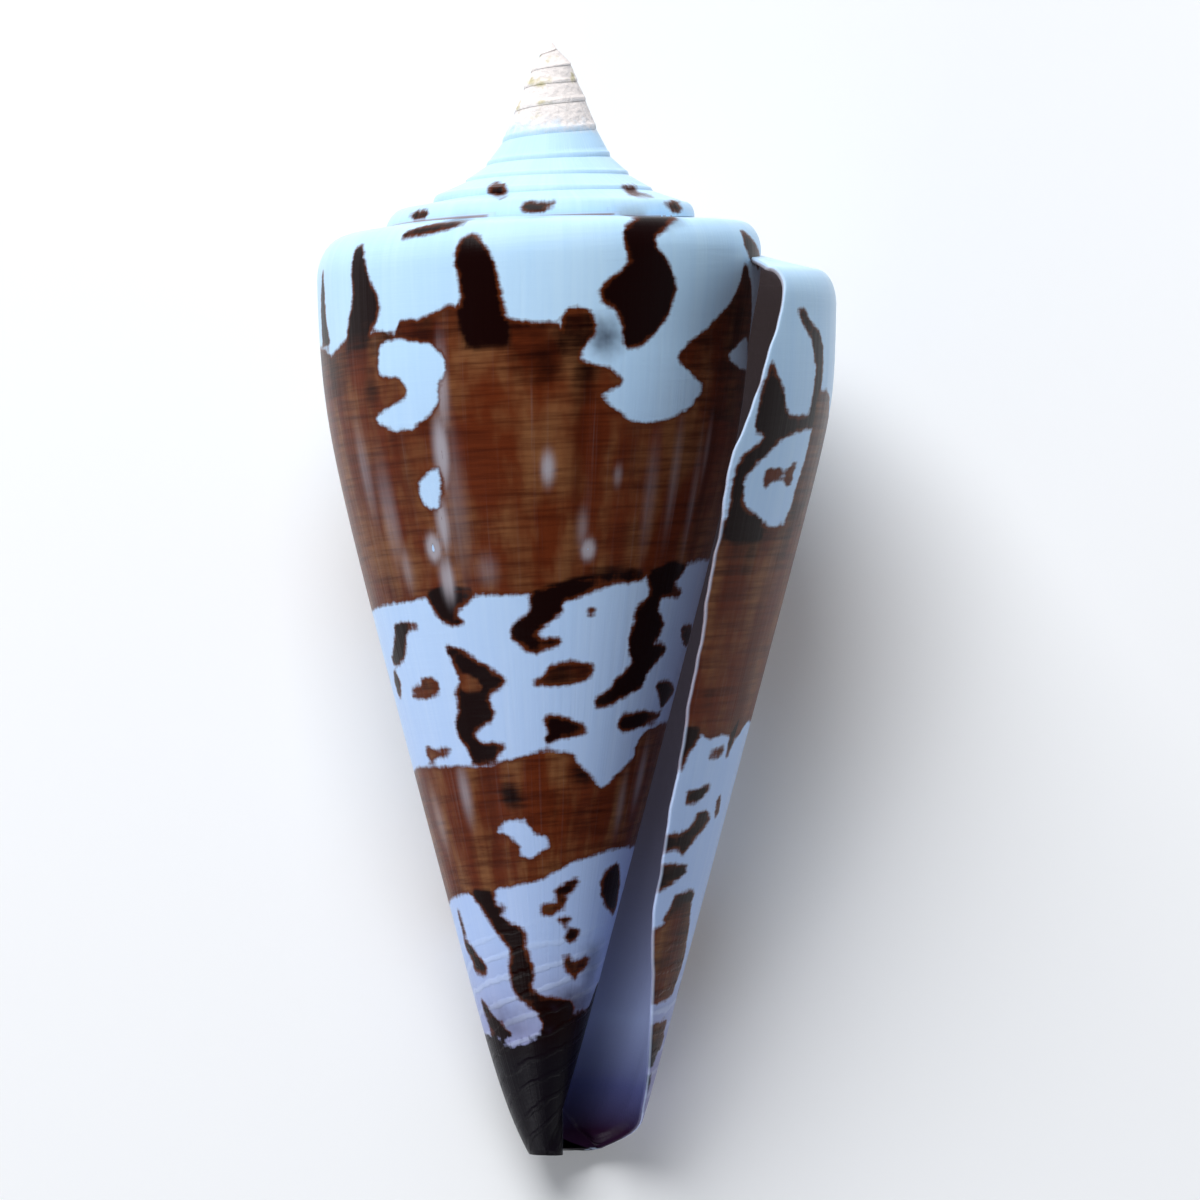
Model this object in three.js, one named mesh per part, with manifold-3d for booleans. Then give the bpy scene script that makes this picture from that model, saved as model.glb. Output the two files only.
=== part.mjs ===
import * as THREE from "three";
import { mergeVertices } from "three/addons/utils/BufferGeometryUtils.js";
import Module from "manifold-3d";

// A cone shell: one sheet of shell wound clockwise about its axis as it grows, seen from the
// apex. Millimetres. While it is drawn, the axis stands along +Z with the apex at the top, the
// wide opening faces -Y, and a place on the sheet is given in turns of growth. Turn 0 is on the
// +X side of the last whorl, and turns before it are negative. The finished shell is laid down.

const LENGTH = 75; // apex to the open front end
const FIRST_TURN = -10.3; // the apex
const SEAM_TURN = 0.145; // just past the farthest reach of the lip
const STATIONS_PER_TURN = 36;
const TOLERANCE = 0.01; // smallest detail kept after cutting

// How the shoulder of each whorl grows
const SHOULDER_RADIUS = 19.15; // at turn 0
const LATE_GROWTH = 1.4; // times the radius per turn, in the last whorls
const EARLY_GROWTH = 1.31; // and in the whorls of the spire
const GROWTH_CHANGE = -3; // turn at which the one gives way to the other
const CROWN_HEIGHT = 61.8; // where the even descent of the shoulder reaches turn 0
const DESCENT = 1.1; // drop of the shoulder per turn
const LATE_DESCENT = { from: -1.1, to: 0, size: 2.15, power: 1.6 }; // the last whorl dips
const STEEP_TOP = { from: -4.5, to: -7.5, rise: 1.9 }; // the early whorls stand as a sharp point
const SWELL = { at: -1, reach: 0.22, size: 0.6, from: 54, to: 60 }; // the shoulder over the opening

// The drop from a shoulder to the suture under it: fine in the spire, deep at the lip
const SPIRE_STEP = 0.12;
const LATER_STEP = { size: 0.9, from: -3.5, to: -1 };
const LIP_STEP = { size: 1.7, from: -0.75, to: 0.1, power: 3 };

// The side of the whorl, from a nearly upright shoulder to a straight taper
const SHOULDER_LEVEL = 59.3;
const TAPER = 0.135; // half the slope of the side
const BEND_DEPTH = 8.5; // below the shoulder, where the side bends to the taper
const BEND_SOFTNESS = { early: 6.5, late: 3, from: -0.5, to: 0.1 };
const END_ROUNDING = {
  early: { depth: 1.05, reach: 3 },
  late: { depth: 0.6, reach: 1.2 },
  from: -0.5,
  to: 0,
};
const COLUMELLA_RADIUS = 0.7;
const SIDE_ROWS = 11;
const ROW_CROWDING = 1.2; // rows lie closer together toward the shoulder

// The edge of the shoulder
const CORNER = { breadth: 1.3, extra: 0.7, at: -0.5, reach: 0.35 };
const SMALL_WHORL = 8; // whorls under this radius have a smaller one, in proportion

// The hollow that the animal lived in
const WALL = { full: 1.1, edge: 0.35, taper: 0.08 };
const ROOF = 0.9;
const HOLLOW_CORNER = 1.2; // cut off the hollow under the shoulder
const CHAMBER_END = -1.5; // turn at which the hollow stops
const FLOOR_RISE = { from: -0.1, perTurn: 22 }; // the hollow is open below near the lip only
const FLOOR_HEIGHT = 56; // the height whose turn sets the floor of a section
const OPEN_FLOOR = -3; // lower than the front end, so that the hollow opens there
const LIP = { middle: 0.14, topCurl: 0.035, topFrom: 45, topTo: 60 };
const LIP_SWEEP = { size: 0.112, from: 18, power: 1.6 }; // the lip slants away to the front end
const SINUS = { depth: 0.05, from: 52, to: 60 }; // the lip draws back where it meets the suture

// The hollow's sections: evenly spaced far inside, following the lip's curve near it, and run
// on past the lip to the seam, wider than the shell, so that the cut leaves the lip alone
const LIP_CURVE_START = -0.12;
const NEAR_LIP = [0.35, 0.7, 0.9, 1];
const PAST_LIP = [0.01, 0.33, 0.67, 1];
const PAST = { margin: 1.5, sink: 0.03, lastTurn: 0.02, lastLift: 0.6 };

// How the shell lies: it rolls about its axis, then tips until its side is level
const REST_ROLL = 0;
const REST_PITCH = 14.3;
const REST_FLAT = 0.45; // depth of the narrow face worn along the line that touches the table

const clamp01 = (x) => Math.min(1, Math.max(0, x));
const smooth = (x) => clamp01(x) ** 2 * (3 - 2 * clamp01(x));
const between = (x, from, to) => smooth((x - from) / (to - from));
const mix = (a, b, share) => a + (b - a) * share;
const bell = (x, middle, reach) => Math.exp(-(((x - middle) / reach) ** 2));

function shoulderRadius(turn) {
  const late = SHOULDER_RADIUS * LATE_GROWTH ** Math.max(turn, GROWTH_CHANGE);
  const early = EARLY_GROWTH ** Math.min(0, turn - GROWTH_CHANGE);
  return late * early * clamp01(turn - FIRST_TURN) + SWELL.size * bell(turn, SWELL.at, SWELL.reach);
}

function shoulderHeight(turn) {
  const dip = Math.max(0, Math.min(turn, LATE_DESCENT.to) - LATE_DESCENT.from);
  const top = STEEP_TOP.rise * between(turn, STEEP_TOP.from, STEEP_TOP.to);
  const height = CROWN_HEIGHT - DESCENT * turn - LATE_DESCENT.size * dip ** LATE_DESCENT.power + top;
  return Math.min(LENGTH, height);
}

function sideRadius(turn, z) {
  const depth = SHOULDER_LEVEL - z - BEND_DEPTH;
  const bend = between(turn, BEND_SOFTNESS.from, BEND_SOFTNESS.to);
  const taper = TAPER * (depth + Math.hypot(depth, mix(BEND_SOFTNESS.early, BEND_SOFTNESS.late, bend)));
  const [early, late] = [END_ROUNDING.early, END_ROUNDING.late].map(
    ({ depth, reach }) => depth * Math.exp(-Math.max(z, 0) / reach),
  );
  const end = mix(early, late, between(turn, END_ROUNDING.from, END_ROUNDING.to));
  const swell = SWELL.size * bell(turn, SWELL.at, SWELL.reach) * (1 - between(z, SWELL.from, SWELL.to));
  const least = COLUMELLA_RADIUS * clamp01(turn - FIRST_TURN);
  return Math.max(shoulderRadius(turn) - taper - end - swell, least);
}

function sutureHeight(turn) {
  if (turn - 1 <= FIRST_TURN) return LENGTH;
  const toLip = clamp01((turn - LIP_STEP.from) / (LIP_STEP.to - LIP_STEP.from));
  const later = LATER_STEP.size * between(turn, LATER_STEP.from, LATER_STEP.to);
  const step = SPIRE_STEP * clamp01(turn - 1 - FIRST_TURN) + later + LIP_STEP.size * toLip ** LIP_STEP.power;
  return shoulderHeight(turn - 1) - step;
}

// The turn at which the lip ends, at a height: it leans back at the shoulder and sweeps away
// at the front end.
function lipTurn(z) {
  const curl = LIP.topCurl * between(z, LIP.topFrom, LIP.topTo);
  const sweep = LIP_SWEEP.size * clamp01(1 - z / LIP_SWEEP.from) ** LIP_SWEEP.power;
  return LIP.middle - curl - sweep;
}

function place(turn, radius, z) {
  const angle = -2 * Math.PI * turn;
  return [radius * Math.cos(angle), radius * Math.sin(angle), z];
}

// The outside of the sheet at one turn, from its suture over the ramp and the shoulder, down
// to the next suture and on to the front end.
function outsideColumn(turn) {
  const radius = shoulderRadius(turn);
  const crown = shoulderHeight(turn);
  const suture = sutureHeight(turn);
  const sutureRadius = turn - 1 <= FIRST_TURN ? 0 : sideRadius(turn - 1, suture);
  const below = sutureHeight(turn + 1);
  const full = CORNER.breadth + CORNER.extra * bell(turn, CORNER.at, CORNER.reach);
  const round = full * Math.min(1, radius / SMALL_WHORL);
  const breadth = radius - sutureRadius;
  const rampPart = breadth > round ? 1 - round / breadth : 0;
  const rampEnd = suture + (crown - suture) * rampPart;
  const column = [
    place(turn, sutureRadius, suture),
    place(turn, sutureRadius + breadth * rampPart, rampEnd),
    place(turn, radius - round / 4, crown - Math.min(round / 2, (crown - below) / 2)),
    place(turn, sideRadius(turn, below), below),
  ];
  for (let row = 1; row <= SIDE_ROWS; row++) {
    const z = below * (1 - (row / SIDE_ROWS) ** ROW_CROWDING);
    column.push(place(turn, sideRadius(turn, z), z));
  }
  return column;
}

// A closed mesh from a list of triangles, each of three [x, y, z] points.
function solidOf(triangles) {
  const geometry = new THREE.BufferGeometry();
  geometry.setAttribute("position", new THREE.Float32BufferAttribute(triangles.flat(2), 3));
  return toManifold(geometry);
}

function toManifold(geometry) {
  const bare = geometry.clone();
  bare.deleteAttribute("normal");
  bare.deleteAttribute("uv");
  const merged = mergeVertices(bare, 1e-4);
  const points = merged.attributes.position;
  const triangles = [];
  for (let i = 0; i < merged.index.count; i += 3) {
    const [a, b, c] = [0, 1, 2].map((k) => merged.index.getX(i + k));
    if (a !== b && b !== c && a !== c) triangles.push(a, b, c);
  }
  const mesh = new wasm.Mesh({
    numProp: 3,
    vertProperties: Float32Array.from(points.array),
    triVerts: Uint32Array.from(triangles),
  });
  return new wasm.Manifold(mesh);
}

const quad = (a, b, c, d) => [[a, b, c], [a, c, d]];

// The whole shell filled in: the winding outside, the face where the last whorl stops, and the
// underside of the front end.
function filledShell() {
  const turns = Math.ceil((SEAM_TURN - FIRST_TURN) * STATIONS_PER_TURN);
  const columns = [];
  for (let i = 0; i <= turns; i++) {
    columns.push(outsideColumn(SEAM_TURN - (turns - i) / STATIONS_PER_TURN));
  }
  const lastTurn = turns - STATIONS_PER_TURN;
  const triangles = [];
  for (let i = 0; i < turns; i++) {
    const rows = i < lastTurn ? 3 : columns[i].length - 1;
    for (let row = 0; row < rows; row++) {
      const [here, next] = [columns[i], columns[i + 1]];
      triangles.push(...quad(here[row], next[row], next[row + 1], here[row + 1]));
    }
  }
  const inner = columns[lastTurn];
  const outer = columns[turns];
  triangles.push([inner[3], outer[2], outer[1]], [inner[3], outer[3], outer[2]]);
  for (let row = 3; row < inner.length - 1; row++) {
    triangles.push(...quad(outer[row], inner[row], inner[row + 1], outer[row + 1]));
  }
  const rim = columns.slice(lastTurn).map((column) => column.at(-1));
  for (let i = 1; i < rim.length - 1; i++) triangles.push([rim[0], rim[i], rim[i + 1]]);
  return solidOf(triangles);
}

// One section of the hollow: up its inner wall and down its outer wall.
function hollowSection({ turnAt, innerTurnAt = turnAt, wall, open, lift }) {
  const rise = (FLOOR_RISE.from - turnAt(FLOOR_HEIGHT)) * FLOOR_RISE.perTurn;
  const floor = OPEN_FLOOR + Math.max(0, rise);
  const roofTurn = turnAt(SHOULDER_LEVEL);
  const roof = sutureHeight(roofTurn) + (open ? ROOF : -ROOF);
  const crown = shoulderHeight(roofTurn) + (open ? ROOF : -ROOF);
  const inner = [];
  const outer = [];
  for (let row = 0; row <= SIDE_ROWS; row++) {
    const along = row / SIDE_ROWS;
    const zInner = floor + (roof - floor) * along;
    const zOuter = floor + (crown - HOLLOW_CORNER - floor) * along;
    const innerTurn = innerTurnAt(zInner);
    const innerRadius = Math.max(sideRadius(innerTurn - 1, zInner), COLUMELLA_RADIUS) + lift;
    inner.push(place(innerTurn, innerRadius, zInner));
    outer.push(place(turnAt(zOuter), sideRadius(turnAt(zOuter), zOuter) - wall, zOuter));
  }
  const corner = place(roofTurn, shoulderRadius(roofTurn) - wall - HOLLOW_CORNER, crown);
  return { inner, outer, corner };
}

// The hollow as one solid, run out past the lip so that cutting it away also shapes the lip.
function hollow() {
  const sections = [];
  const steps = Math.round((LIP_CURVE_START - CHAMBER_END) * STATIONS_PER_TURN);
  for (let i = 0; i <= steps; i++) {
    const turn = mix(CHAMBER_END, LIP_CURVE_START, i / steps);
    sections.push(hollowSection({ turnAt: () => turn, wall: WALL.full, open: false, lift: 0 }));
  }
  const sinusTurn = (z) => lipTurn(z) - SINUS.depth * between(z, SINUS.from, SINUS.to);
  for (const part of NEAR_LIP) {
    const turnAt = (z) => mix(LIP_CURVE_START, lipTurn(z), part);
    const innerTurnAt = (z) => mix(LIP_CURVE_START, sinusTurn(z), part);
    const toLip = (1 - part) * (LIP.middle - LIP_CURVE_START);
    const wall = mix(WALL.edge, WALL.full, smooth(toLip / WALL.taper));
    sections.push(hollowSection({ turnAt, innerTurnAt, wall, open: false, lift: 0 }));
  }
  for (const part of PAST_LIP) {
    const turnAt = (z) => mix(lipTurn(z), SEAM_TURN, part);
    const innerTurnAt = (z) => mix(sinusTurn(z), SEAM_TURN, part);
    const lift = -PAST.sink * part;
    sections.push(hollowSection({ turnAt, innerTurnAt, wall: -PAST.margin, open: true, lift }));
  }
  const end = { turnAt: () => SEAM_TURN + PAST.lastTurn, wall: -PAST.margin, open: true };
  sections.push(hollowSection({ ...end, lift: PAST.lastLift }));
  const triangles = [];
  const ring = ({ inner, outer, corner }) => [...inner, corner, ...outer.slice().reverse()];
  for (let i = 0; i < sections.length - 1; i++) {
    const [here, next] = [ring(sections[i]), ring(sections[i + 1])];
    here.forEach((point, k) => {
      const after = (k + 1) % here.length;
      triangles.push(...quad(point, next[k], next[after], here[after]));
    });
  }
  for (const [section, flip] of [[sections[0], true], [sections.at(-1), false]]) {
    const cap = [[section.inner.at(-1), section.outer.at(-1), section.corner]];
    for (let row = 0; row < SIDE_ROWS; row++) {
      const { inner, outer } = section;
      cap.push(...quad(inner[row], outer[row], outer[row + 1], inner[row + 1]));
    }
    triangles.push(...(flip ? cap.map(([a, b, c]) => [a, c, b]) : cap));
  }
  return solidOf(triangles);
}

function toGeometry(solid) {
  const mesh = solid.getMesh();
  const geometry = new THREE.BufferGeometry();
  geometry.setAttribute("position", new THREE.BufferAttribute(Float32Array.from(mesh.vertProperties), 3));
  geometry.setIndex(new THREE.BufferAttribute(Uint32Array.from(mesh.triVerts), 1));
  geometry.computeVertexNormals();
  return geometry;
}

// The shell's lowest place once it lies down, worn to a small flat face.
function wearFlat(solid, lying) {
  const posed = toGeometry(solid).applyMatrix4(lying);
  posed.computeBoundingBox();
  const table = new THREE.BoxGeometry(LENGTH * 2, LENGTH * 2, LENGTH);
  table.translate(0, 0, posed.boundingBox.min.z + REST_FLAT - LENGTH / 2);
  return solid.subtract(toManifold(table.applyMatrix4(lying.clone().invert())));
}

const wasm = await Module();
wasm.setup();

const rolled = new THREE.Matrix4().makeRotationZ(THREE.MathUtils.degToRad(REST_ROLL));
const lying = new THREE.Matrix4().makeRotationX(THREE.MathUtils.degToRad(REST_PITCH - 90)).multiply(rolled);
const hollowShell = filledShell().subtract(hollow());

const shell = new THREE.Mesh(
  toGeometry(wearFlat(hollowShell, lying).simplify(TOLERANCE)),
  new THREE.MeshStandardMaterial({ color: 0xb9cbe0, roughness: 0.25, metalness: 0 }),
);
shell.name = "shell";
shell.setRotationFromMatrix(lying);

// The origin is under the middle of the shell, on the table
const model = new THREE.Group();
const box = new THREE.Box3().setFromObject(shell, true);
const middle = box.getCenter(new THREE.Vector3());
shell.position.set(-middle.x, -middle.y, -box.min.z);
model.add(shell);

export default model;
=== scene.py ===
"""A cone shell that lies on its back on a pale table, with its opening up.

The shell is one sheet, wound clockwise about its axis as it grew. A place on the sheet is given
in turns of growth, counted from the widest side of the last whorl, and in millimetres of height
above the open front end. All shapes and markings are worked out in those two coordinates.
"""

import logging
import math
from dataclasses import dataclass, field
from enum import Enum

import bpy
import numpy as np
from mathutils import Matrix, Vector


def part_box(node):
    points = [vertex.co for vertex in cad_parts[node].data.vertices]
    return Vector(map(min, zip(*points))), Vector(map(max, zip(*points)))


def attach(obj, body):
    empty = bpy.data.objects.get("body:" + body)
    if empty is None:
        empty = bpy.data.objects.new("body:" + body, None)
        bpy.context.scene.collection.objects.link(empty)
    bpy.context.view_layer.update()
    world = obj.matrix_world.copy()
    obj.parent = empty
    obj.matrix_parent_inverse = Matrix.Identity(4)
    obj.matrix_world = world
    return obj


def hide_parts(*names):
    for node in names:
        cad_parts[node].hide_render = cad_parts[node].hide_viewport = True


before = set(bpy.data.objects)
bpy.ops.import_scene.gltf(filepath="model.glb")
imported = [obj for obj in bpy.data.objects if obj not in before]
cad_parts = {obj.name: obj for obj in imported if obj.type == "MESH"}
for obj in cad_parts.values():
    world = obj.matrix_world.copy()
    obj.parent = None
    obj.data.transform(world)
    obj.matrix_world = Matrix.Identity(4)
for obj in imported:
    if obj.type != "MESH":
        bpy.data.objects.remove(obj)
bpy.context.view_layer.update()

MM = 0.001
FRONT = -0.75  # the turn of growth that faces straight forward
LAP = 0.05  # how far one whorl's edge is sunk into the whorl before it, in millimetres
Array = np.ndarray
Outline = tuple[tuple[float, float], ...]
Colour = tuple[float, float, float, float]

log = logging.getLogger("cone_shell")


def smooth(x: Array | float) -> Array:
    """Ease from 0 to 1: 3x^2 - 2x^3 of x held between 0 and 1."""
    x = np.clip(x, 0.0, 1.0)
    return x * x * (3.0 - 2.0 * x)


def between(x: Array | float, start: float, end: float) -> Array:
    """Ease from 0 at the start to 1 at the end."""
    return smooth((x - start) / (end - start))


def bell(x: Array | float, middle: float, reach: float) -> Array:
    """Rise to 1 at the middle and fade to nothing: e to the minus square of the distance."""
    return np.exp(-(((x - middle) / reach) ** 2))


def rgb(red: int, green: int, blue: int) -> Colour:
    """Turn a display colour into the linear colour that a shader takes.

    Args:
        red: the red, from 0 to 255.
        green: the green.
        blue: the blue.

    Returns:
        The linear colour, fully opaque.
    """
    value = np.array([red, green, blue]) / 255.0
    linear = np.where(value <= 0.04045, value / 12.92, ((value + 0.055) / 1.055) ** 2.4)
    return (*map(float, linear), 1.0)


# ---------------------------------------------------------------- how the shell grows


@dataclass(frozen=True)
class Growth:
    """The laws that the winding sheet follows. Lengths are millimetres."""

    length: float = 75.0
    first_turn: float = -10.3
    shoulder: float = 19.15
    late_growth: float = 1.4
    early_growth: float = 1.31
    growth_change: float = -3.0
    crown_height: float = 61.8
    descent: float = 1.1
    shoulder_level: float = 59.3
    taper: float = 0.135
    bend_depth: float = 8.5
    early_softness: float = 6.5
    late_softness: float = 3.0
    columella: float = 0.7
    small_whorl: float = 8.0
    swell_size: float = 0.6
    swell_foot: tuple[float, float] = (54.0, 60.0)
    dip_size: float = 2.15
    dip_from: float = -1.1
    dip_power: float = 1.6
    point_rise: float = 1.9
    end_rounding_early: tuple[float, float] = (1.05, 3.0)
    end_rounding_late: tuple[float, float] = (0.6, 1.2)
    corner: tuple[float, float] = (1.3, 1.9)
    corner_extra: tuple[float, float] = (0.7, 0.6)
    spire_corner: float = 0.25
    spire_step: float = 0.12
    apex_wear: float = 0.35
    later_step: float = 0.9
    lip_step: float = 1.7
    lip_furthest: float = 0.14
    lip_curl: float = 0.035
    lip_notch: float = 0.16
    notch_height: float = 3.2
    lip_sweep: float = 0.112
    sweep_height: float = 18.0
    lip_waves: float = 0.0009

    def swell(self, turn: Array) -> Array:
        """Give how far the shoulder stands out over the opening, about turn -1."""
        return self.swell_size * bell(turn, -1.0, 0.22)

    def shoulder_radius(self, turn: Array) -> Array:
        """Give the radius of the shoulder, which is multiplied by a fixed number each turn.

        Args:
            turn: turns of growth.

        Returns:
            The radius: 19.15 times 1.4 to the power of the turn, with 1.31 in the spire, and
            the swell over the opening.
        """
        late = self.late_growth ** np.maximum(turn, self.growth_change)
        early = self.early_growth ** np.minimum(0.0, turn - self.growth_change)
        start = np.clip(turn - self.first_turn, 0.0, 1.0)
        return self.shoulder * late * early * start + self.swell(turn)

    def shoulder_height(self, turn: Array) -> Array:
        """Give the height of the shoulder: an even descent, a sharp point and a late dip.

        Args:
            turn: turns of growth.

        Returns:
            The height: 61.8 less 1.1 a turn, with a smooth rise of 1.9 in the early whorls, and
            less a power of 1.6 of the turns since -1.1.
        """
        dip = self.dip_size * np.maximum(0.0, np.minimum(turn, 0.0) - self.dip_from) ** self.dip_power
        point = self.point_rise * between(turn, -4.5, -7.5)
        return np.minimum(self.length, self.crown_height - self.descent * turn - dip + point)

    def side_radius(self, turn: Array, z: Array) -> Array:
        """Give the radius of the whorl's side: upright under the shoulder, then a taper.

        Args:
            turn: turns of growth.
            z: height over the front end.

        Returns:
            The shoulder's radius, less a hyperbola in depth that ends as a straight taper, less
            a rounding that fades within a few millimetres of the front end.
        """
        depth = self.shoulder_level - z - self.bend_depth
        bend = between(turn, -0.5, 0.1)
        softness = self.early_softness + (self.late_softness - self.early_softness) * bend
        inset = self.taper * (depth + np.hypot(depth, softness))
        above = np.maximum(z, 0.0)
        late = between(turn, -0.5, 0.0)
        early_size, early_reach = self.end_rounding_early
        late_size, late_reach = self.end_rounding_late
        end = early_size * np.exp(-above / early_reach) * (1.0 - late)
        end = end + late_size * np.exp(-above / late_reach) * late
        swell = self.swell(turn) * (1.0 - between(z, *self.swell_foot))
        least = self.columella * np.clip(turn - self.first_turn, 0.0, 1.0)
        return np.maximum(self.shoulder_radius(turn) - inset - end - swell, least)

    def corner_size(self, turn: Array) -> tuple[Array, Array]:
        """Give the size of the shoulder's rounding.

        Args:
            turn: turns of growth.

        Returns:
            Its breadth and height: least in the spire and most about turn -0.5.
        """
        spire = self.spire_corner + (1.0 - self.spire_corner) * between(turn, -2.3, -1.3)
        share = np.minimum(1.0, self.shoulder_radius(turn) / self.small_whorl) * spire
        wide = bell(turn, -0.5, 0.35)
        breadth, height = self.corner
        more_breadth, more_height = self.corner_extra
        return (breadth + more_breadth * wide) * share, (height + more_height * wide) * share

    def suture_height(self, turn: Array) -> Array:
        """Give the height at which a whorl meets the one before it.

        Args:
            turn: turns of growth.

        Returns:
            The shoulder's height one turn back, less a step that grows from 0.04 at the worn
            apex to 2.7 at the lip.
        """
        worn = self.apex_wear + (1.0 - self.apex_wear) * between(turn, -4.5, -2.5)
        spire = self.spire_step * worn * np.clip(turn - 1.0 - self.first_turn, 0.0, 1.0)
        later = self.later_step * between(turn, -2.0, -1.0)
        lip = self.lip_step * np.clip((turn - FRONT) / 0.85, 0.0, 1.0) ** 3
        height = self.shoulder_height(turn - 1.0) - spire - later - lip
        return np.where(turn - 1.0 <= self.first_turn, self.length, height)

    def outer_radius(self, turn: Array, z: Array) -> Array:
        """Give the radius of the outside of a whorl, with the shoulder's rounding cut into it.

        Args:
            turn: turns of growth.
            z: height, no higher than the shoulder.

        Returns:
            The side's radius, or a quarter ellipse's above the foot of the rounding.
        """
        breadth, height = self.corner_size(turn)
        foot = self.shoulder_height(turn) - height
        base = self.side_radius(turn, foot)
        rise = np.clip((z - foot) / np.maximum(height, 1e-6), 0.0, 1.0)
        rounded = base - breadth + breadth * np.sqrt(1.0 - rise * rise)
        return np.where(z > foot, rounded, self.side_radius(turn, z))

    def lip_turn(self, z: Array) -> Array:
        """Give the turn at which the lip ends at a height.

        Args:
            z: height over the front end.

        Returns:
            0.14 turn, less a lean back at the shoulder, less a power of 1.6 of the depth below
            18 mm and a notch at the front end, with low waves for the uneven edge.
        """
        curl = self.lip_curl * between(z, 45.0, 60.0)
        notch = self.lip_notch * np.clip(1.0 - z / self.notch_height, 0.0, 1.0) ** 1.5
        sweep = self.lip_sweep * np.clip(1.0 - z / self.sweep_height, 0.0, 1.0) ** 1.6 + notch
        waves = np.sin(z * 1.9) * 0.4 + np.sin(z * 0.83 + 1.0) + np.sin(z * 3.7 + 2.0) * 0.25
        return self.lip_furthest - curl - sweep + self.lip_waves * waves


def on_sheet(turn: Array, radius: Array, z: Array) -> Array:
    """Place points by turn, radius and height: the shell winds clockwise seen from the apex."""
    angle = -2.0 * np.pi * turn
    return np.stack([radius * np.cos(angle), radius * np.sin(angle), z], axis=-1)


# ---------------------------------------------------------------- the surface of the sheet


@dataclass
class Grid:
    """Points on rows and columns, with the coordinates that the markings need."""

    points: Array
    turn: Array
    height: Array
    inside: Array

    def faces(self, offset: int) -> Array:
        """Give the grid's quads, numbered from an offset, without those of no area.

        Args:
            offset: how many vertices come before this grid's.

        Returns:
            An array of four vertex numbers a face, each turning outwards.
        """
        rows, columns = self.turn.shape
        index = np.arange(rows * columns).reshape(rows, columns)
        quads = np.stack([index[:-1, :-1], index[1:, :-1], index[1:, 1:], index[:-1, 1:]], axis=-1)
        quads = quads.reshape(-1, 4)
        corner = self.points.reshape(-1, 3)[quads]
        area = np.cross(corner[:, 2] - corner[:, 0], corner[:, 3] - corner[:, 1])
        return quads[np.linalg.norm(area, axis=1) > 1e-6] + offset


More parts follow.
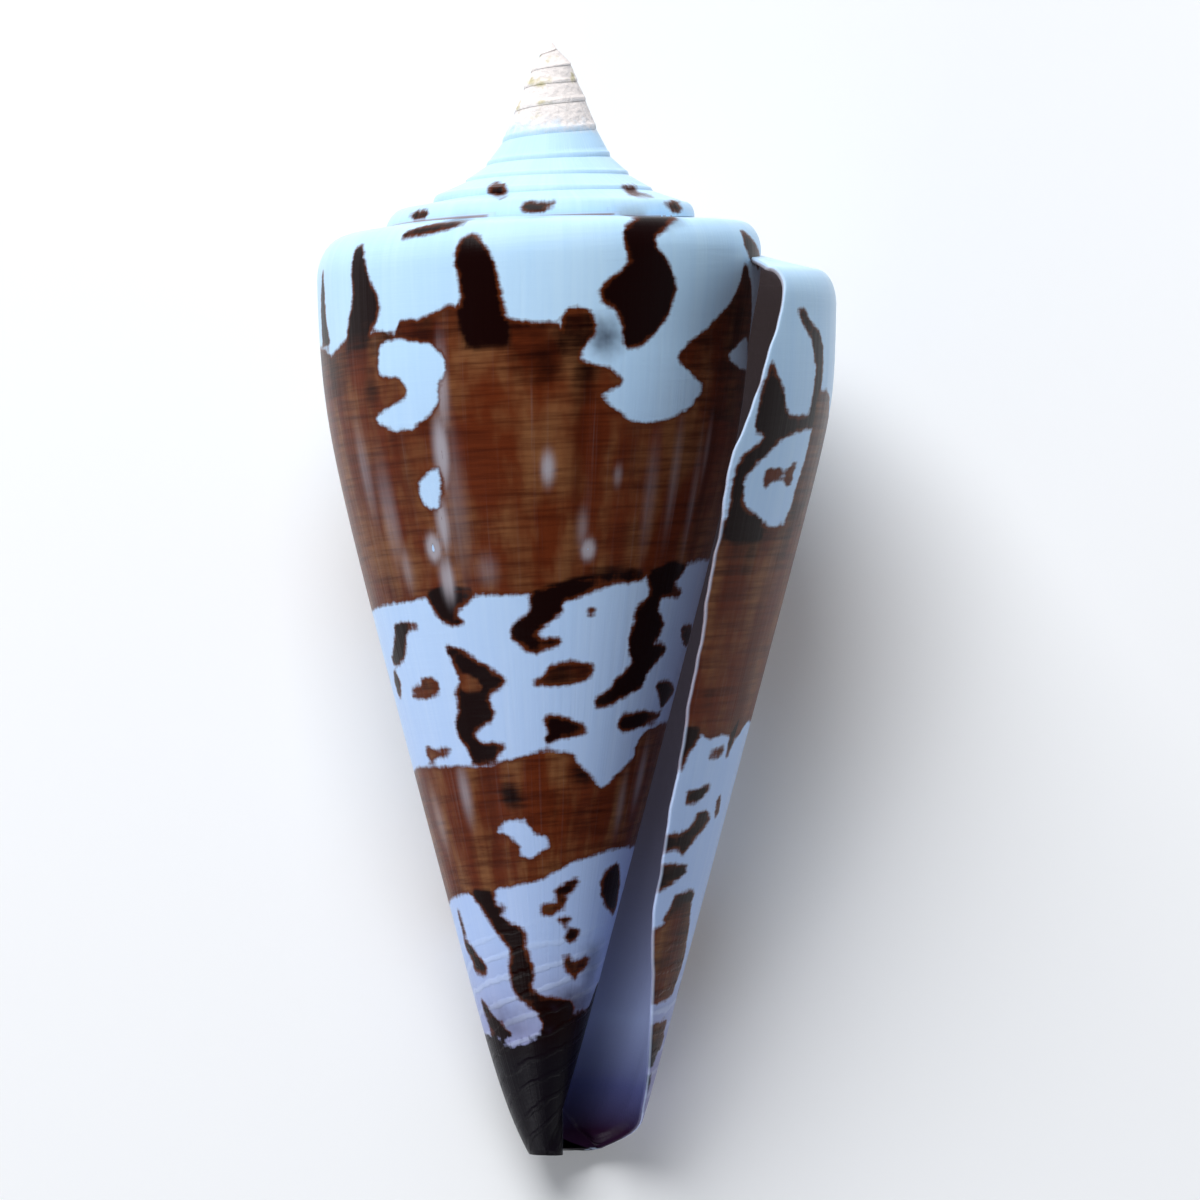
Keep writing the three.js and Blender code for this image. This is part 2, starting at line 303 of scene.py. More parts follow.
@dataclass
class SheetSurface:
    """The outside, the lip's edge and the inside of the winding sheet, as grids of points."""

    growth: Growth
    ramp_rows: int = 12
    corner_rows: int = 10
    side_rows: int = 150
    under_rows: int = 6
    wall: float = 1.1
    edge: float = 0.35
    hidden_from: float = -1.9
    lip_end: float = 0.105
    thinning: float = 0.08
    mouth_lift: float = 0.25
    floor_slope: float = 22.0
    floor_from: float = -0.1
    sinus: float = 0.05
    spire_stations: int = 700
    spire_ramp_rows: int = 6
    spire_corner_rows: int = 7

    def rows(self) -> tuple[Array, Array, Array, Array]:
        """Give how far each row is along the ramp, the corner, the side and the underside."""
        ramp, corner, side, under = self.ramp_rows, self.corner_rows, self.side_rows, self.under_rows
        count = np.arange(ramp + corner + side + under)
        return (
            np.clip(count / ramp, 0.0, 1.0),
            np.clip((count - ramp) / corner, 0.0, 1.0),
            np.clip((count - ramp - corner) / (side - 1), 0.0, 1.0),
            np.clip((count - ramp - corner - side + 1) / under, 0.0, 1.0),
        )

    def wall_at(self, turn: Array) -> Array:
        """Give the wall's thickness: full behind the lip and thin at its edge.

        Args:
            turn: turns of growth, counted on from the lip's own end.

        Returns:
            A smooth blend from 1.1 to 0.35 over the last 0.08 turn.
        """
        thin = smooth((turn + self.thinning) / self.thinning)
        return self.wall + (self.edge - self.wall) * thin

    def open_share(self, turn: Array) -> Array:
        """Give how far the underside is open at a turn, from 0 to 1."""
        return smooth((turn + 0.2) / 0.12)

    def section(self, turn: Array, before_lip: Array, inner: bool) -> tuple[Array, Array]:
        """Work out one side of the sheet's section at each turn.

        The profile runs down a straight ramp from the suture, round a quarter ellipse at the
        shoulder, down the side and under the front end. The inner side is the same profile set
        in by the wall, and it stops at a floor that rises as it goes back from the lip.

        Args:
            turn: turns of growth, one column a row of the profile.
            before_lip: turns from each point to the lip's end, not above zero.
            inner: whether to give the inner side.

        Returns:
            The radius and height of each point.
        """
        g = self.growth
        ramp, corner, side, under = self.rows()
        wall = self.wall_at(before_lip)
        open_share = self.open_share(turn)
        suture = g.suture_height(turn)
        suture_radius = g.outer_radius(turn - 1.0, suture) - LAP
        crown, reach = g.shoulder_height(turn), g.shoulder_radius(turn)
        breadth, height = g.corner_size(turn)
        foot = crown - height
        base = g.side_radius(turn, foot)
        top = suture + (crown - suture) * (1.0 - breadth / np.maximum(reach - suture_radius, breadth))
        if inner:
            base, foot = base - wall, foot - wall
            suture, top = suture - wall, top - wall
        start = base - breadth
        angle = corner * np.pi / 2.0
        radius = suture_radius + (start - suture_radius) * ramp + breadth * np.sin(angle)
        z = suture + (top - suture) * ramp - (top - foot) * (1.0 - np.cos(angle))
        bottom = self.mouth_lift * open_share
        if inner:
            bottom = np.maximum(bottom, -self.floor_slope * (turn - self.floor_from))
        side_z = foot + (bottom - foot) * side
        side_r = g.side_radius(turn, side_z) - (wall if inner else 0.0)
        behind = g.side_radius(turn - 1.0, side_z)
        side_r = np.maximum(side_r, behind) if inner else side_r
        radius = np.where(side > 0.0, side_r, radius)
        z = np.where(side > 0.0, side_z, z)
        if inner:
            inward = (side_r - behind) * (1.0 - open_share)
            return radius - inward * under, z - 0.5 * under * (1.0 - open_share)
        inward = side_r * (1.0 - open_share) + wall * open_share
        lift = 0.4 * under * (1.0 - open_share) - bottom * (1.0 - (2.0 * under - 1.0) ** 2)
        return radius - inward * under, z + np.where(under > 0.0, lift, 0.0)

    def lip_rows(self) -> Array:
        """Give the turn at which each row of the profile ends at the lip.

        Returns:
            The lip's turn at the row's height, drawn back by 0.05 toward the suture.
        """
        ramp, *_ = self.rows()
        turn = np.full((1, len(ramp)), self.lip_end)
        _, z = self.section(turn, np.zeros_like(turn), inner=False)
        sinus = self.sinus * (1.0 - ramp) ** 1.2
        return self.growth.lip_turn(z[0]) - sinus

    def stations(self, turns: Array) -> tuple[Array, Array]:
        """Spread stations of growth over the rows, so that the last of them follows the lip.

        Args:
            turns: the stations, ending at lip_end.

        Returns:
            The turn of each point, and how many turns it is before the lip.
        """
        lip = self.lip_rows()
        share = between(turns, -0.4, self.lip_end)[:, None]
        turn = turns[:, None] + share * (lip - self.lip_end)[None, :]
        return turn, np.minimum(turn - lip[None, :], 0.0)

    def last_whorl(self) -> Grid:
        """Build the last whorl: its outside up to the lip, round the lip's edge and back inside.

        Returns:
            A grid whose columns run along the growth and whose rows run down the profile.
        """
        g = self.growth
        outside = np.concatenate(
            [
                np.linspace(self.hidden_from, -1.02, 60, endpoint=False),
                np.linspace(-1.02, -0.46, 215, endpoint=False),
                np.linspace(-0.46, -0.02, 105, endpoint=False),
                np.linspace(-0.02, self.lip_end, 60),
            ]
        )
        inside = np.concatenate(
            [
                np.linspace(-1.05, self.floor_from, 34, endpoint=False),
                np.linspace(self.floor_from, self.lip_end, 26),
            ]
        )
        turn, before = self.stations(outside)
        radius, z = self.section(turn, before, inner=False)
        outer_points = on_sheet(turn, radius, z)
        inner_turn, inner_before = self.stations(inside)
        inner_radius, inner_z = self.section(inner_turn, inner_before, inner=True)
        inner_points = on_sheet(inner_turn, inner_radius, inner_z)
        bend = np.radians([30.0, 60.0, 90.0, 120.0, 150.0])[:, None, None]
        near, far = outer_points[-1], inner_points[-1]
        tangent = outer_points[-1] - outer_points[-2]
        length = np.maximum(np.linalg.norm(tangent, axis=-1, keepdims=True), 1e-6)
        half = np.linalg.norm(near - far, axis=-1, keepdims=True) / 2.0
        ahead = tangent / length * half
        round_edge = (near + far) / 2.0 + (near - far) / 2.0 * np.cos(bend) + ahead * np.sin(bend)
        edge_turn = np.repeat(turn[-1:], len(bend), axis=0)
        edge_z = np.repeat(z[-1:], len(bend), axis=0)
        edge_inside = np.broadcast_to(np.array([0.25, 0.5, 0.75, 0.9, 1.0])[:, None], edge_turn.shape)
        covered = smooth((-0.965 - turn) / 0.05) * (z < g.suture_height(turn + 1.0) + 0.1)
        return Grid(
            points=np.concatenate([outer_points, round_edge, inner_points[::-1]]),
            turn=np.concatenate([turn, edge_turn, inner_turn[::-1]]),
            height=np.concatenate([z, edge_z, inner_z[::-1]]),
            inside=np.concatenate([covered, edge_inside, np.ones_like(inner_turn)]),
        )

    def spire(self) -> Grid:
        """Build the whorls above the last one, as far down as the next one covers them.

        Returns:
            A grid whose columns run from the apex along the growth.
        """
        g = self.growth
        turns = np.linspace(g.first_turn, self.hidden_from + 0.02, self.spire_stations)[:, None]
        row = np.arange(self.spire_ramp_rows + self.spire_corner_rows + 1)[None, :]
        ramp = np.clip(row / self.spire_ramp_rows, 0.0, 1.0)
        corner = np.clip((row - self.spire_ramp_rows) / self.spire_corner_rows, 0.0, 1.0)
        suture = g.suture_height(turns)
        before = g.outer_radius(turns - 1.0, suture) - LAP
        suture_radius = np.where(turns - 1.0 > g.first_turn, before, 0.0)
        crown, reach = g.shoulder_height(turns), g.shoulder_radius(turns)
        breadth, height = g.corner_size(turns)
        base = g.side_radius(turns, crown - height)
        share = 1.0 - breadth / np.maximum(np.maximum(reach - suture_radius, breadth), 1e-6)
        top = suture + (crown - suture) * share
        start = base - breadth
        angle = corner * np.pi / 2.0
        radius = suture_radius + (start - suture_radius) * ramp + breadth * np.sin(angle)
        z = suture + (top - suture) * ramp - (top - crown + height) * (1.0 - np.cos(angle))
        turn = np.broadcast_to(turns, radius.shape)
        return Grid(on_sheet(turn, np.maximum(radius, 0.0), z), turn, z, np.zeros_like(z))


# ---------------------------------------------------------------- the markings


class Spread(Enum):
    """Which stretch of the sheet an outline is drawn on, as seen from in front."""

    BODY = "body"
    PANEL = "panel"


@dataclass(frozen=True)
class Mark:
    """One patch of pigment, or a clear patch in one, as millimetres across and up the front."""

    outline: Outline
    depth: float = 1.0
    spread: Spread = Spread.BODY


# Edges of the two brown bands and of the dark front end. The first list of each pair is seen from
# in front, as millimetres across and up. The other goes on round the back, as turns and heights.
BAND_TOP: Outline = (
    (-15.4, 54.3), (-14.9, 53.8), (-14.0, 54.9), (-11.9, 55.5), (-10.6, 55.5), (-10.3, 56.2),
    (-8.9, 56.4), (-7.4, 57.1), (-6.7, 57.3), (-3.1, 56.4), (-1.4, 56.1), (0.3, 56.1),
    (1.5, 54.8), (7.2, 54.6), (13.4, 54.6),
)
BAND_TOP_BACK: Outline = (
    (-0.4, 55.6), (-0.3, 53.6), (-0.2, 52.2), (-0.1, 50.8), (0.0, 49.9), (0.045, 49.2), (0.06, 43.0),
    (0.15, 42.0),
)
BAND_BOTTOM: Outline = (
    (-11.2, 37.1), (-9.8, 37.3), (-8.8, 37.5), (-5.3, 37.7), (-1.6, 37.8), (1.2, 38.4),
    (4.6, 39.0), (6.2, 38.9), (8.2, 39.6), (9.9, 40.1),
)
BAND_BOTTOM_BACK: Outline = (
    (-0.35, 35.4), (-0.25, 33.4), (-0.12, 31.2), (0.0, 29.4), (0.06, 28.8), (0.15, 28.0),
)
LOW_BAND_TOP: Outline = (
    (-9.0, 26.1), (-5.7, 26.2), (-4.0, 26.3), (-2.6, 26.7), (-0.7, 27.3), (1.2, 27.1),
    (3.2, 26.6), (5.2, 27.2), (6.3, 28.6), (7.3, 29.1),
)
LOW_BAND_TOP_BACK: Outline = (
    (-0.35, 24.4), (-0.25, 22.6), (-0.12, 19.8), (0.0, 17.4), (0.02, 13.0), (0.05, 9.0), (0.15, 9.0),
)
LOW_BAND_BOTTOM: Outline = (
    (-6.8, 17.3), (-5.7, 17.7), (-4.8, 16.8), (-3.7, 17.9), (-1.5, 18.3), (-0.5, 18.7),
    (1.3, 19.7), (3.7, 20.5), (4.6, 20.7),
)
LOW_BAND_BOTTOM_BACK: Outline = (
    (-0.35, 14.8), (-0.25, 13.4), (-0.12, 11.6), (0.0, 10.2), (0.05, 11.0), (0.15, 11.0),
)
TIP_TOP: Outline = (
    (-4.8, 8.2), (-3.4, 7.6), (-1.9, 7.8), (-0.8, 8.2), (1.3, 9.3), (2.4, 9.8), (3.0, 11.5),
)
TIP_TOP_BACK: Outline = ((-0.4, 6.4), (-0.25, 4.2), (-0.1, 1.8), (0.0, 0.4), (0.15, 0.0))

# Fingers and flames that rise from the band into the white under the shoulder
LEFT_FINGER = Mark(((-13.5, 61.0), (-13.2, 61.3), (-12.9, 60.8), (-12.5, 59.3), (-11.8, 57.7),
                    (-11.7, 56.8), (-12.2, 55.7), (-12.6, 54.5), (-13.9, 54.2), (-13.7, 56.3),
                    (-13.4, 57.6), (-13.5, 59.3)), 0.75)
TALL_FINGER = Mark(((-6.6, 60.6), (-6.2, 61.7), (-5.7, 62.1), (-5.1, 61.8), (-4.2, 60.6), (-3.6, 58.6),
                    (-3.2, 56.3), (-3.0, 54.6), (-5.6, 54.4), (-6.3, 56.3), (-6.1, 58.3)), 0.85)
GREAT_FLAME = Mark(((4.9, 62.2), (5.7, 63.0), (7.2, 63.6), (9.2, 63.5), (8.0, 62.7), (6.9, 61.9),
                    (6.8, 61.5), (7.7, 60.2), (8.3, 58.6), (7.9, 56.9), (6.9, 55.5), (5.9, 54.5),
                    (4.9, 54.4), (4.8, 55.9), (4.3, 57.1), (3.3, 57.6), (3.2, 58.4), (4.6, 59.5),
                    (5.3, 60.2), (5.0, 61.1)), 1.0)
BAND_STEP = Mark(((0.6, 55.6), (0.9, 56.9), (1.8, 57.1), (2.6, 56.8), (2.9, 55.6), (2.3, 54.2),
                  (0.5, 54.2)), 0.6)
RIGHT_FLAME = Mark(((13.0, 60.2), (13.4, 57.6), (13.3, 53.0), (13.2, 49.5), (11.3, 49.3), (9.9, 50.2),
                    (9.2, 51.9), (8.0, 53.8), (9.2, 54.6), (10.7, 55.9), (12.0, 57.3), (12.6, 58.6)), 0.45)
SHOULDER_BLOT = Mark(((13.0, 62.3), (13.6, 61.6), (14.0, 60.4), (13.9, 59.8), (13.4, 60.3),
                      (13.0, 61.3)), 0.6)
EDGE_STREAK = Mark(((-15.5, 59.8), (-15.4, 58.3), (-15.3, 56.3), (-15.0, 54.6), (-15.5, 54.6),
                    (-15.6, 56.9)), 0.9)
SUTURE_WEDGE = Mark(((-10.6, 61.9), (-9.6, 62.6), (-8.3, 62.9), (-6.3, 63.0), (-7.6, 62.5),
                     (-9.0, 62.1)), 0.9)

# White windows in the upper band
LEFT_WINDOW = Mark(((-11.7, 54.6), (-10.4, 55.1), (-9.6, 54.9), (-8.2, 54.6), (-7.3, 53.7), (-7.1, 52.8),
                    (-7.8, 52.0), (-7.6, 50.9), (-8.4, 49.7), (-9.5, 48.9), (-10.6, 48.8), (-11.8, 49.3),
                    (-11.9, 49.8), (-10.8, 50.5), (-9.8, 51.1), (-9.8, 51.7), (-10.4, 52.4), (-11.8, 52.6)))
WINDOW_DRIP = Mark(((-7.7, 46.3), (-7.5, 45.0), (-7.6, 44.1), (-7.6, 43.5), (-8.4, 43.6), (-9.0, 44.5),
                    (-9.0, 45.4), (-8.3, 46.1)))
RIGHT_WINDOW = Mark(((1.8, 53.7), (2.4, 54.9), (3.4, 55.6), (4.6, 55.6), (6.4, 55.4), (7.2, 56.0),
                     (9.2, 56.8), (10.7, 56.1), (9.2, 54.8), (8.3, 53.8), (9.2, 52.8), (10.2, 51.7),
                     (9.2, 50.3), (8.0, 49.7), (7.2, 49.5), (6.0, 49.3), (4.9, 49.7), (3.8, 50.7),
                     (3.2, 51.2), (4.2, 51.7), (4.9, 52.2), (4.0, 53.0), (2.5, 53.4)))
SMALL_WINDOW = Mark(((11.7, 53.8), (12.7, 54.9), (13.1, 55.2), (13.1, 52.8), (12.7, 52.9), (12.1, 53.4)))

# Marks on the white between the bands
BAND_LOBE = Mark(((-8.5, 37.7), (-7.7, 36.3), (-6.9, 35.7), (-6.0, 35.8), (-6.7, 36.5), (-5.3, 37.7),
                  (-5.7, 38.2), (-7.6, 38.2)), 0.9)
HOOK = Mark(((-10.6, 35.6), (-10.4, 35.8), (-9.2, 35.8), (-9.2, 35.5), (-9.7, 35.4), (-10.0, 34.9),
             (-9.9, 34.3), (-10.0, 33.4), (-10.6, 33.0), (-10.8, 33.4), (-10.6, 34.4), (-10.6, 35.1)))
CLIMBER = Mark(((-1.5, 37.9), (-1.3, 36.6), (-2.6, 35.7), (-2.8, 34.9), (-1.4, 33.8), (0.4, 34.4),
                (0.5, 34.7), (-0.7, 34.7), (-1.3, 35.2), (-0.2, 36.0), (0.7, 36.7), (0.6, 37.3),
                (1.2, 37.5), (3.9, 38.5), (6.2, 38.7), (5.9, 39.3), (1.2, 38.7)))
HALF_MOON = Mark(((-9.4, 31.4), (-8.8, 31.5), (-8.8, 32.0), (-8.2, 32.1), (-7.7, 31.7), (-7.8, 31.1),
                  (-8.6, 30.8), (-9.4, 30.9)), 0.4)
TREE = Mark(((-7.1, 34.3), (-6.2, 34.0), (-5.0, 33.2), (-3.0, 31.9), (-4.3, 31.1), (-4.4, 30.5),
             (-3.8, 29.6), (-5.5, 28.4), (-4.8, 27.7), (-3.2, 27.6), (-4.0, 26.6), (-5.3, 26.5),
             (-5.7, 27.4), (-6.3, 28.2), (-6.5, 29.1), (-6.2, 29.9), (-6.5, 31.1), (-6.1, 32.0),
             (-6.5, 32.7), (-6.9, 33.7)))
TREE_HEART = Mark(((-6.3, 32.5), (-6.0, 31.2), (-4.7, 31.3), (-5.2, 32.0)), 0.15)
LEAF = Mark(((-1.4, 31.7), (-0.5, 32.3), (-0.1, 33.0), (1.2, 33.2), (2.7, 33.0), (2.6, 32.3), (1.8, 31.9),
             (0.3, 31.7)), 0.55)
SAW = Mark(((6.3, 39.1), (6.7, 37.8), (5.6, 36.6), (5.6, 35.8), (5.2, 34.9), (5.2, 34.0), (5.6, 33.2),
            (4.4, 32.0), (3.6, 31.1), (2.9, 30.7), (3.0, 30.1), (4.1, 30.5), (6.1, 31.7), (6.3, 32.5),
            (7.6, 34.0), (7.5, 34.4), (6.7, 34.4), (7.5, 35.6), (7.0, 36.8), (7.3, 37.7), (8.5, 37.7),
            (8.7, 38.0), (8.0, 38.4), (9.0, 39.6), (8.0, 39.9)))
DASH = Mark(((8.7, 35.6), (9.3, 35.6), (9.3, 34.9), (9.0, 34.3), (8.7, 34.9)), 0.8)
COMMA = Mark(((7.0, 31.7), (7.7, 31.9), (8.2, 31.3), (7.7, 30.6), (7.3, 30.1), (7.3, 30.8)), 0.8)
FISH = Mark(((-0.5, 29.5), (0.5, 29.5), (2.2, 28.9), (2.2, 28.4), (0.7, 28.2), (-0.5, 27.7), (-0.2, 28.4)))
BROW = Mark(((4.4, 28.9), (4.7, 29.6), (6.1, 29.9), (7.3, 29.6), (6.1, 29.0), (4.9, 28.5)), 0.85)
CREST = Mark(((-8.5, 27.4), (-8.0, 27.2), (-6.9, 27.3), (-7.1, 27.0), (-7.8, 26.8), (-8.2, 26.5),
              (-8.4, 26.7)), 0.35)
EDGE_CRESCENT = Mark(((-10.7, 32.7), (-10.2, 31.7), (-10.3, 30.8), (-10.6, 31.7)), 0.9)
FRECKLE = Mark(((2.4, 36.7), (2.8, 36.8), (2.8, 36.5), (2.5, 36.4)), 0.4)

# White windows in the lower band
BAND_NOTCH = Mark(((1.0, 27.8), (1.6, 26.6), (2.6, 25.5), (3.2, 24.7), (3.7, 25.0), (4.4, 25.7),
                   (5.0, 26.3), (5.6, 27.2), (5.4, 28.6), (4.5, 28.7), (2.5, 28.4)))
CLOUD = Mark(((-3.8, 21.8), (-3.4, 22.4), (-2.4, 22.6), (-1.8, 22.6), (-1.5, 22.0), (-1.2, 21.6),
              (-0.4, 21.5), (-0.2, 20.8), (-0.8, 20.4), (-1.5, 19.9), (-2.3, 20.2), (-2.2, 20.8),
              (-2.8, 21.4)))

# Marks on the white near the front end
RIBBON = Mark(((-5.4, 17.7), (-4.7, 16.6), (-4.2, 15.8), (-3.7, 15.0), (-2.8, 13.9), (-2.8, 11.8),
               (-2.3, 10.5), (-1.0, 9.6), (-0.1, 8.3), (1.0, 8.7), (1.4, 10.2), (-0.8, 10.7),
               (-1.5, 11.1), (-1.3, 12.3), (-1.8, 13.9), (-2.0, 15.2), (-3.0, 15.6), (-3.7, 16.2),
               (-3.2, 16.7), (-3.9, 16.8), (-4.0, 17.7)), 0.95)
BROKEN_CHAIN = Mark(((-4.9, 10.4), (-4.5, 10.0), (-4.0, 9.4), (-3.4, 8.7), (-2.8, 8.0), (-3.2, 7.7),
                     (-3.8, 8.2), (-4.4, 8.8), (-4.8, 9.6)), 0.8)
SPOTS = (
    Mark(((1.6, 18.6), (1.8, 18.4), (1.1, 17.6), (0.3, 17.3), (0.3, 17.9)), 0.8),
    Mark(((-0.7, 16.8), (0.1, 16.8), (0.8, 17.3), (0.8, 16.8), (-0.1, 16.2), (-0.7, 16.2)), 0.6),
    Mark(((0.4, 15.8), (0.8, 16.0), (1.2, 15.8), (0.8, 15.5)), 0.5),
    Mark(((0.9, 14.8), (1.3, 15.2), (1.7, 15.1), (1.6, 14.6), (1.1, 14.4)), 0.6),
    Mark(((0.7, 13.3), (1.1, 13.3), (1.3, 12.9), (2.4, 13.3), (2.4, 13.0), (1.7, 12.3), (1.5, 11.9),
          (1.1, 12.3)), 0.6),
    Mark(((4.4, 19.6), (3.7, 19.2), (3.3, 18.5), (3.3, 17.6), (3.7, 16.7), (4.1, 16.2), (4.3, 16.8),
          (4.5, 18.5)), 0.9),
    Mark(((-6.4, 16.5), (-6.2, 16.0), (-5.9, 14.9), (-6.0, 14.8)), 0.8),
    Mark(((-6.0, 14.6), (-5.3, 13.9), (-5.3, 13.6), (-4.8, 13.1), (-4.4, 12.5), (-4.6, 12.1), (-5.2, 12.3),
          (-5.4, 13.1), (-5.8, 13.8)), 0.75),
)

# The narrow stretch of the last whorl that shows beside the opening
PANEL_HOOK = Mark(((16.5, 56.9), (17.0, 56.9), (17.3, 56.2), (17.9, 55.5), (18.2, 54.5), (18.2, 53.0),
                   (18.0, 51.3), (17.6, 49.0), (17.1, 49.0), (17.6, 51.3), (17.8, 53.0), (17.5, 55.0),
                   (16.9, 56.1)), 0.8, Spread.PANEL)
PANEL_SAIL = Mark(((14.8, 53.5), (15.1, 52.6), (15.6, 51.3), (15.7, 50.2), (16.0, 49.7), (17.0, 49.7),
                   (17.6, 49.4), (16.8, 48.9), (16.1, 48.7), (15.0, 47.8), (14.2, 46.9), (12.9, 45.7),
                   (12.8, 43.9), (14.0, 42.9), (14.1, 41.5), (11.6, 41.5), (12.0, 43.9), (12.4, 46.4),
                   (13.1, 47.3), (13.8, 47.8), (14.4, 48.5), (13.7, 48.9), (14.0, 50.9), (14.2, 51.6)),
                  0.85, Spread.PANEL)
PANEL_BLOB = Mark(((12.9, 45.5), (13.3, 46.0), (15.0, 47.8), (16.2, 48.7), (17.5, 48.7), (17.3, 47.6),
                   (16.8, 46.9), (16.1, 45.2), (15.7, 43.3), (15.4, 42.5), (14.6, 42.3), (14.0, 42.9),
                   (12.9, 43.8)), 1.0, Spread.PANEL)
PANEL_BIRD = Mark(((14.4, 46.1), (15.0, 46.2), (15.4, 46.1), (15.6, 45.9), (16.1, 46.4), (16.4, 46.5),
                   (16.2, 46.1), (16.1, 45.4), (15.8, 45.2), (15.6, 45.7), (15.1, 45.6), (14.7, 45.4),
                   (14.3, 45.0)), 0.35, Spread.PANEL)
PANEL_EDGE = Mark(((17.9, 51.4), (17.5, 48.9), (17.1, 47.0), (16.5, 45.2), (16.1, 43.6), (15.5, 42.3),
                   (16.8, 42.3), (17.8, 45.0), (18.4, 48.5), (18.6, 51.4)), 0.45, Spread.PANEL)
PANEL_CORNER = Mark(((8.2, 28.7), (9.9, 28.7), (9.8, 28.0), (9.0, 27.0), (8.7, 26.0), (8.0, 26.0),
                     (8.0, 27.4)), 1.0, Spread.PANEL)
PANEL_SPOTS = (
    Mark(((10.6, 27.1), (11.5, 27.4), (11.5, 27.1), (10.7, 26.8)), 0.6, Spread.PANEL),
    Mark(((12.6, 29.4), (12.2, 28.0), (11.7, 26.7), (12.0, 28.3)), 0.8, Spread.PANEL),
    Mark(((9.1, 24.4), (9.8, 24.5), (10.4, 24.9), (10.6, 24.7), (9.8, 23.9), (9.1, 23.7)),
         0.8, Spread.PANEL),
    Mark(((7.0, 21.4), (8.4, 21.5), (9.1, 21.8), (9.6, 22.4), (9.8, 23.0), (10.4, 23.1), (10.6, 22.6),
          (9.8, 21.6), (8.8, 20.3), (8.4, 20.7), (7.0, 20.4)), 0.7, Spread.PANEL),
    Mark(((7.0, 19.5), (9.0, 19.5), (9.0, 19.1), (8.0, 18.3), (7.0, 17.8)), 0.8, Spread.PANEL),
    Mark(((8.3, 17.5), (9.4, 17.8), (9.5, 17.4), (8.8, 16.2), (7.9, 15.2), (7.5, 15.8), (7.8, 16.3)),
         0.7, Spread.PANEL),
    Mark(((11.3, 24.1), (11.2, 23.2), (11.0, 22.8), (11.1, 23.9)), 0.7, Spread.PANEL),
    Mark(((9.3, 17.0), (9.1, 14.9), (8.8, 13.1), (8.0, 10.7), (6.5, 10.1), (6.5, 14.9), (7.5, 15.4),
          (8.4, 16.5)), 0.4, Spread.PANEL),
    Mark(((6.4, 8.9), (7.6, 9.0), (7.3, 7.3), (6.8, 6.0), (6.0, 6.0), (6.2, 7.7)), 0.5, Spread.PANEL),
    Mark(((6.1, 5.1), (6.7, 5.3), (6.4, 4.4), (6.0, 4.5)), 0.9, Spread.PANEL),
)

# Spots on the steps of the spire, as seen from in front
SPIRE_SPOTS = (
    Mark(((-4.1, 65.6), (-3.2, 65.5), (-3.0, 64.9), (-3.4, 64.4), (-4.0, 64.6), (-4.4, 64.9)), 0.8),
    Mark(((-2.3, 64.0), (-2.0, 64.3), (0.3, 64.3), (-0.2, 63.8), (-0.9, 63.5), (-2.0, 63.5)), 0.9),
    Mark(((-9.4, 63.6), (-8.4, 63.8), (-8.4, 63.4), (-8.7, 62.9), (-9.3, 62.9), (-9.6, 63.2)), 0.8),
    Mark(((4.6, 65.3), (5.6, 65.3), (5.7, 64.8), (6.9, 64.5), (5.3, 64.6), (4.9, 65.0)), 0.9),
    Mark(((7.5, 64.2), (8.5, 64.3), (8.7, 63.8), (8.6, 63.5), (8.2, 63.5)), 0.9),
    Mark(((3.3, 63.7), (3.6, 63.9), (3.8, 63.7)), 0.3),
)

# Grey clouds under the enamel: turn, height, half breadth, half height and strength
SMOKE = (
    (-0.79, 54.6, 1.6, 1.8, 0.8),
    (-0.84, 62.6, 2.0, 0.9, 1.0),
    (-0.66, 62.6, 1.6, 0.6, 0.7),
    (-0.86, 12.4, 1.3, 2.6, 0.7),
    (-0.82, 10.6, 2.6, 1.6, 0.8),
    (-0.62, 9.2, 2.6, 1.8, 0.62),
    (-0.3, 7.0, 5.0, 2.0, 0.6),
)


# Middles of the made-up marks on the side that lies on the table, as turns and heights
HIDDEN_FLAMES: Outline = (
    (-0.44, 57.6), (-0.36, 57.0), (-0.27, 56.4), (-0.19, 55.4), (-0.1, 54.2), (-0.05, 52.8),
)
HIDDEN_WINDOWS: Outline = ((-0.4, 50.5), (-0.24, 48.8), (-0.1, 46.4))
HIDDEN_DRIPS: Outline = ((-0.33, 42.0), (-0.15, 38.5))
HIDDEN_MARKS: Outline = (
    (-0.455, 30.6), (-0.415, 33.2), (-0.375, 29.0), (-0.345, 27.4), (-0.315, 30.6), (-0.28, 27.6),
    (-0.245, 28.6), (-0.21, 25.4), (-0.175, 26.8), (-0.135, 24.6), (-0.1, 26.6), (-0.06, 22.6),
    (-0.03, 25.6),
)
HIDDEN_CLOUDS: Outline = ((-0.38, 21.0), (-0.2, 17.6))
HIDDEN_RIBBONS: Outline = (
    (-0.4, 11.2), (-0.36, 12.6), (-0.33, 10.4), (-0.3, 8.8), (-0.22, 8.6), (-0.17, 9.8),
    (-0.14, 6.8), (-0.1, 7.6),
)


@dataclass(frozen=True)
class SoftSpot:
    """A soft spot: its middle as seen from in front, half its breadth and height, its strength."""

    across: float
    up: float
    breadth: float
    height: float
    strength: float
    spread: Spread = Spread.BODY


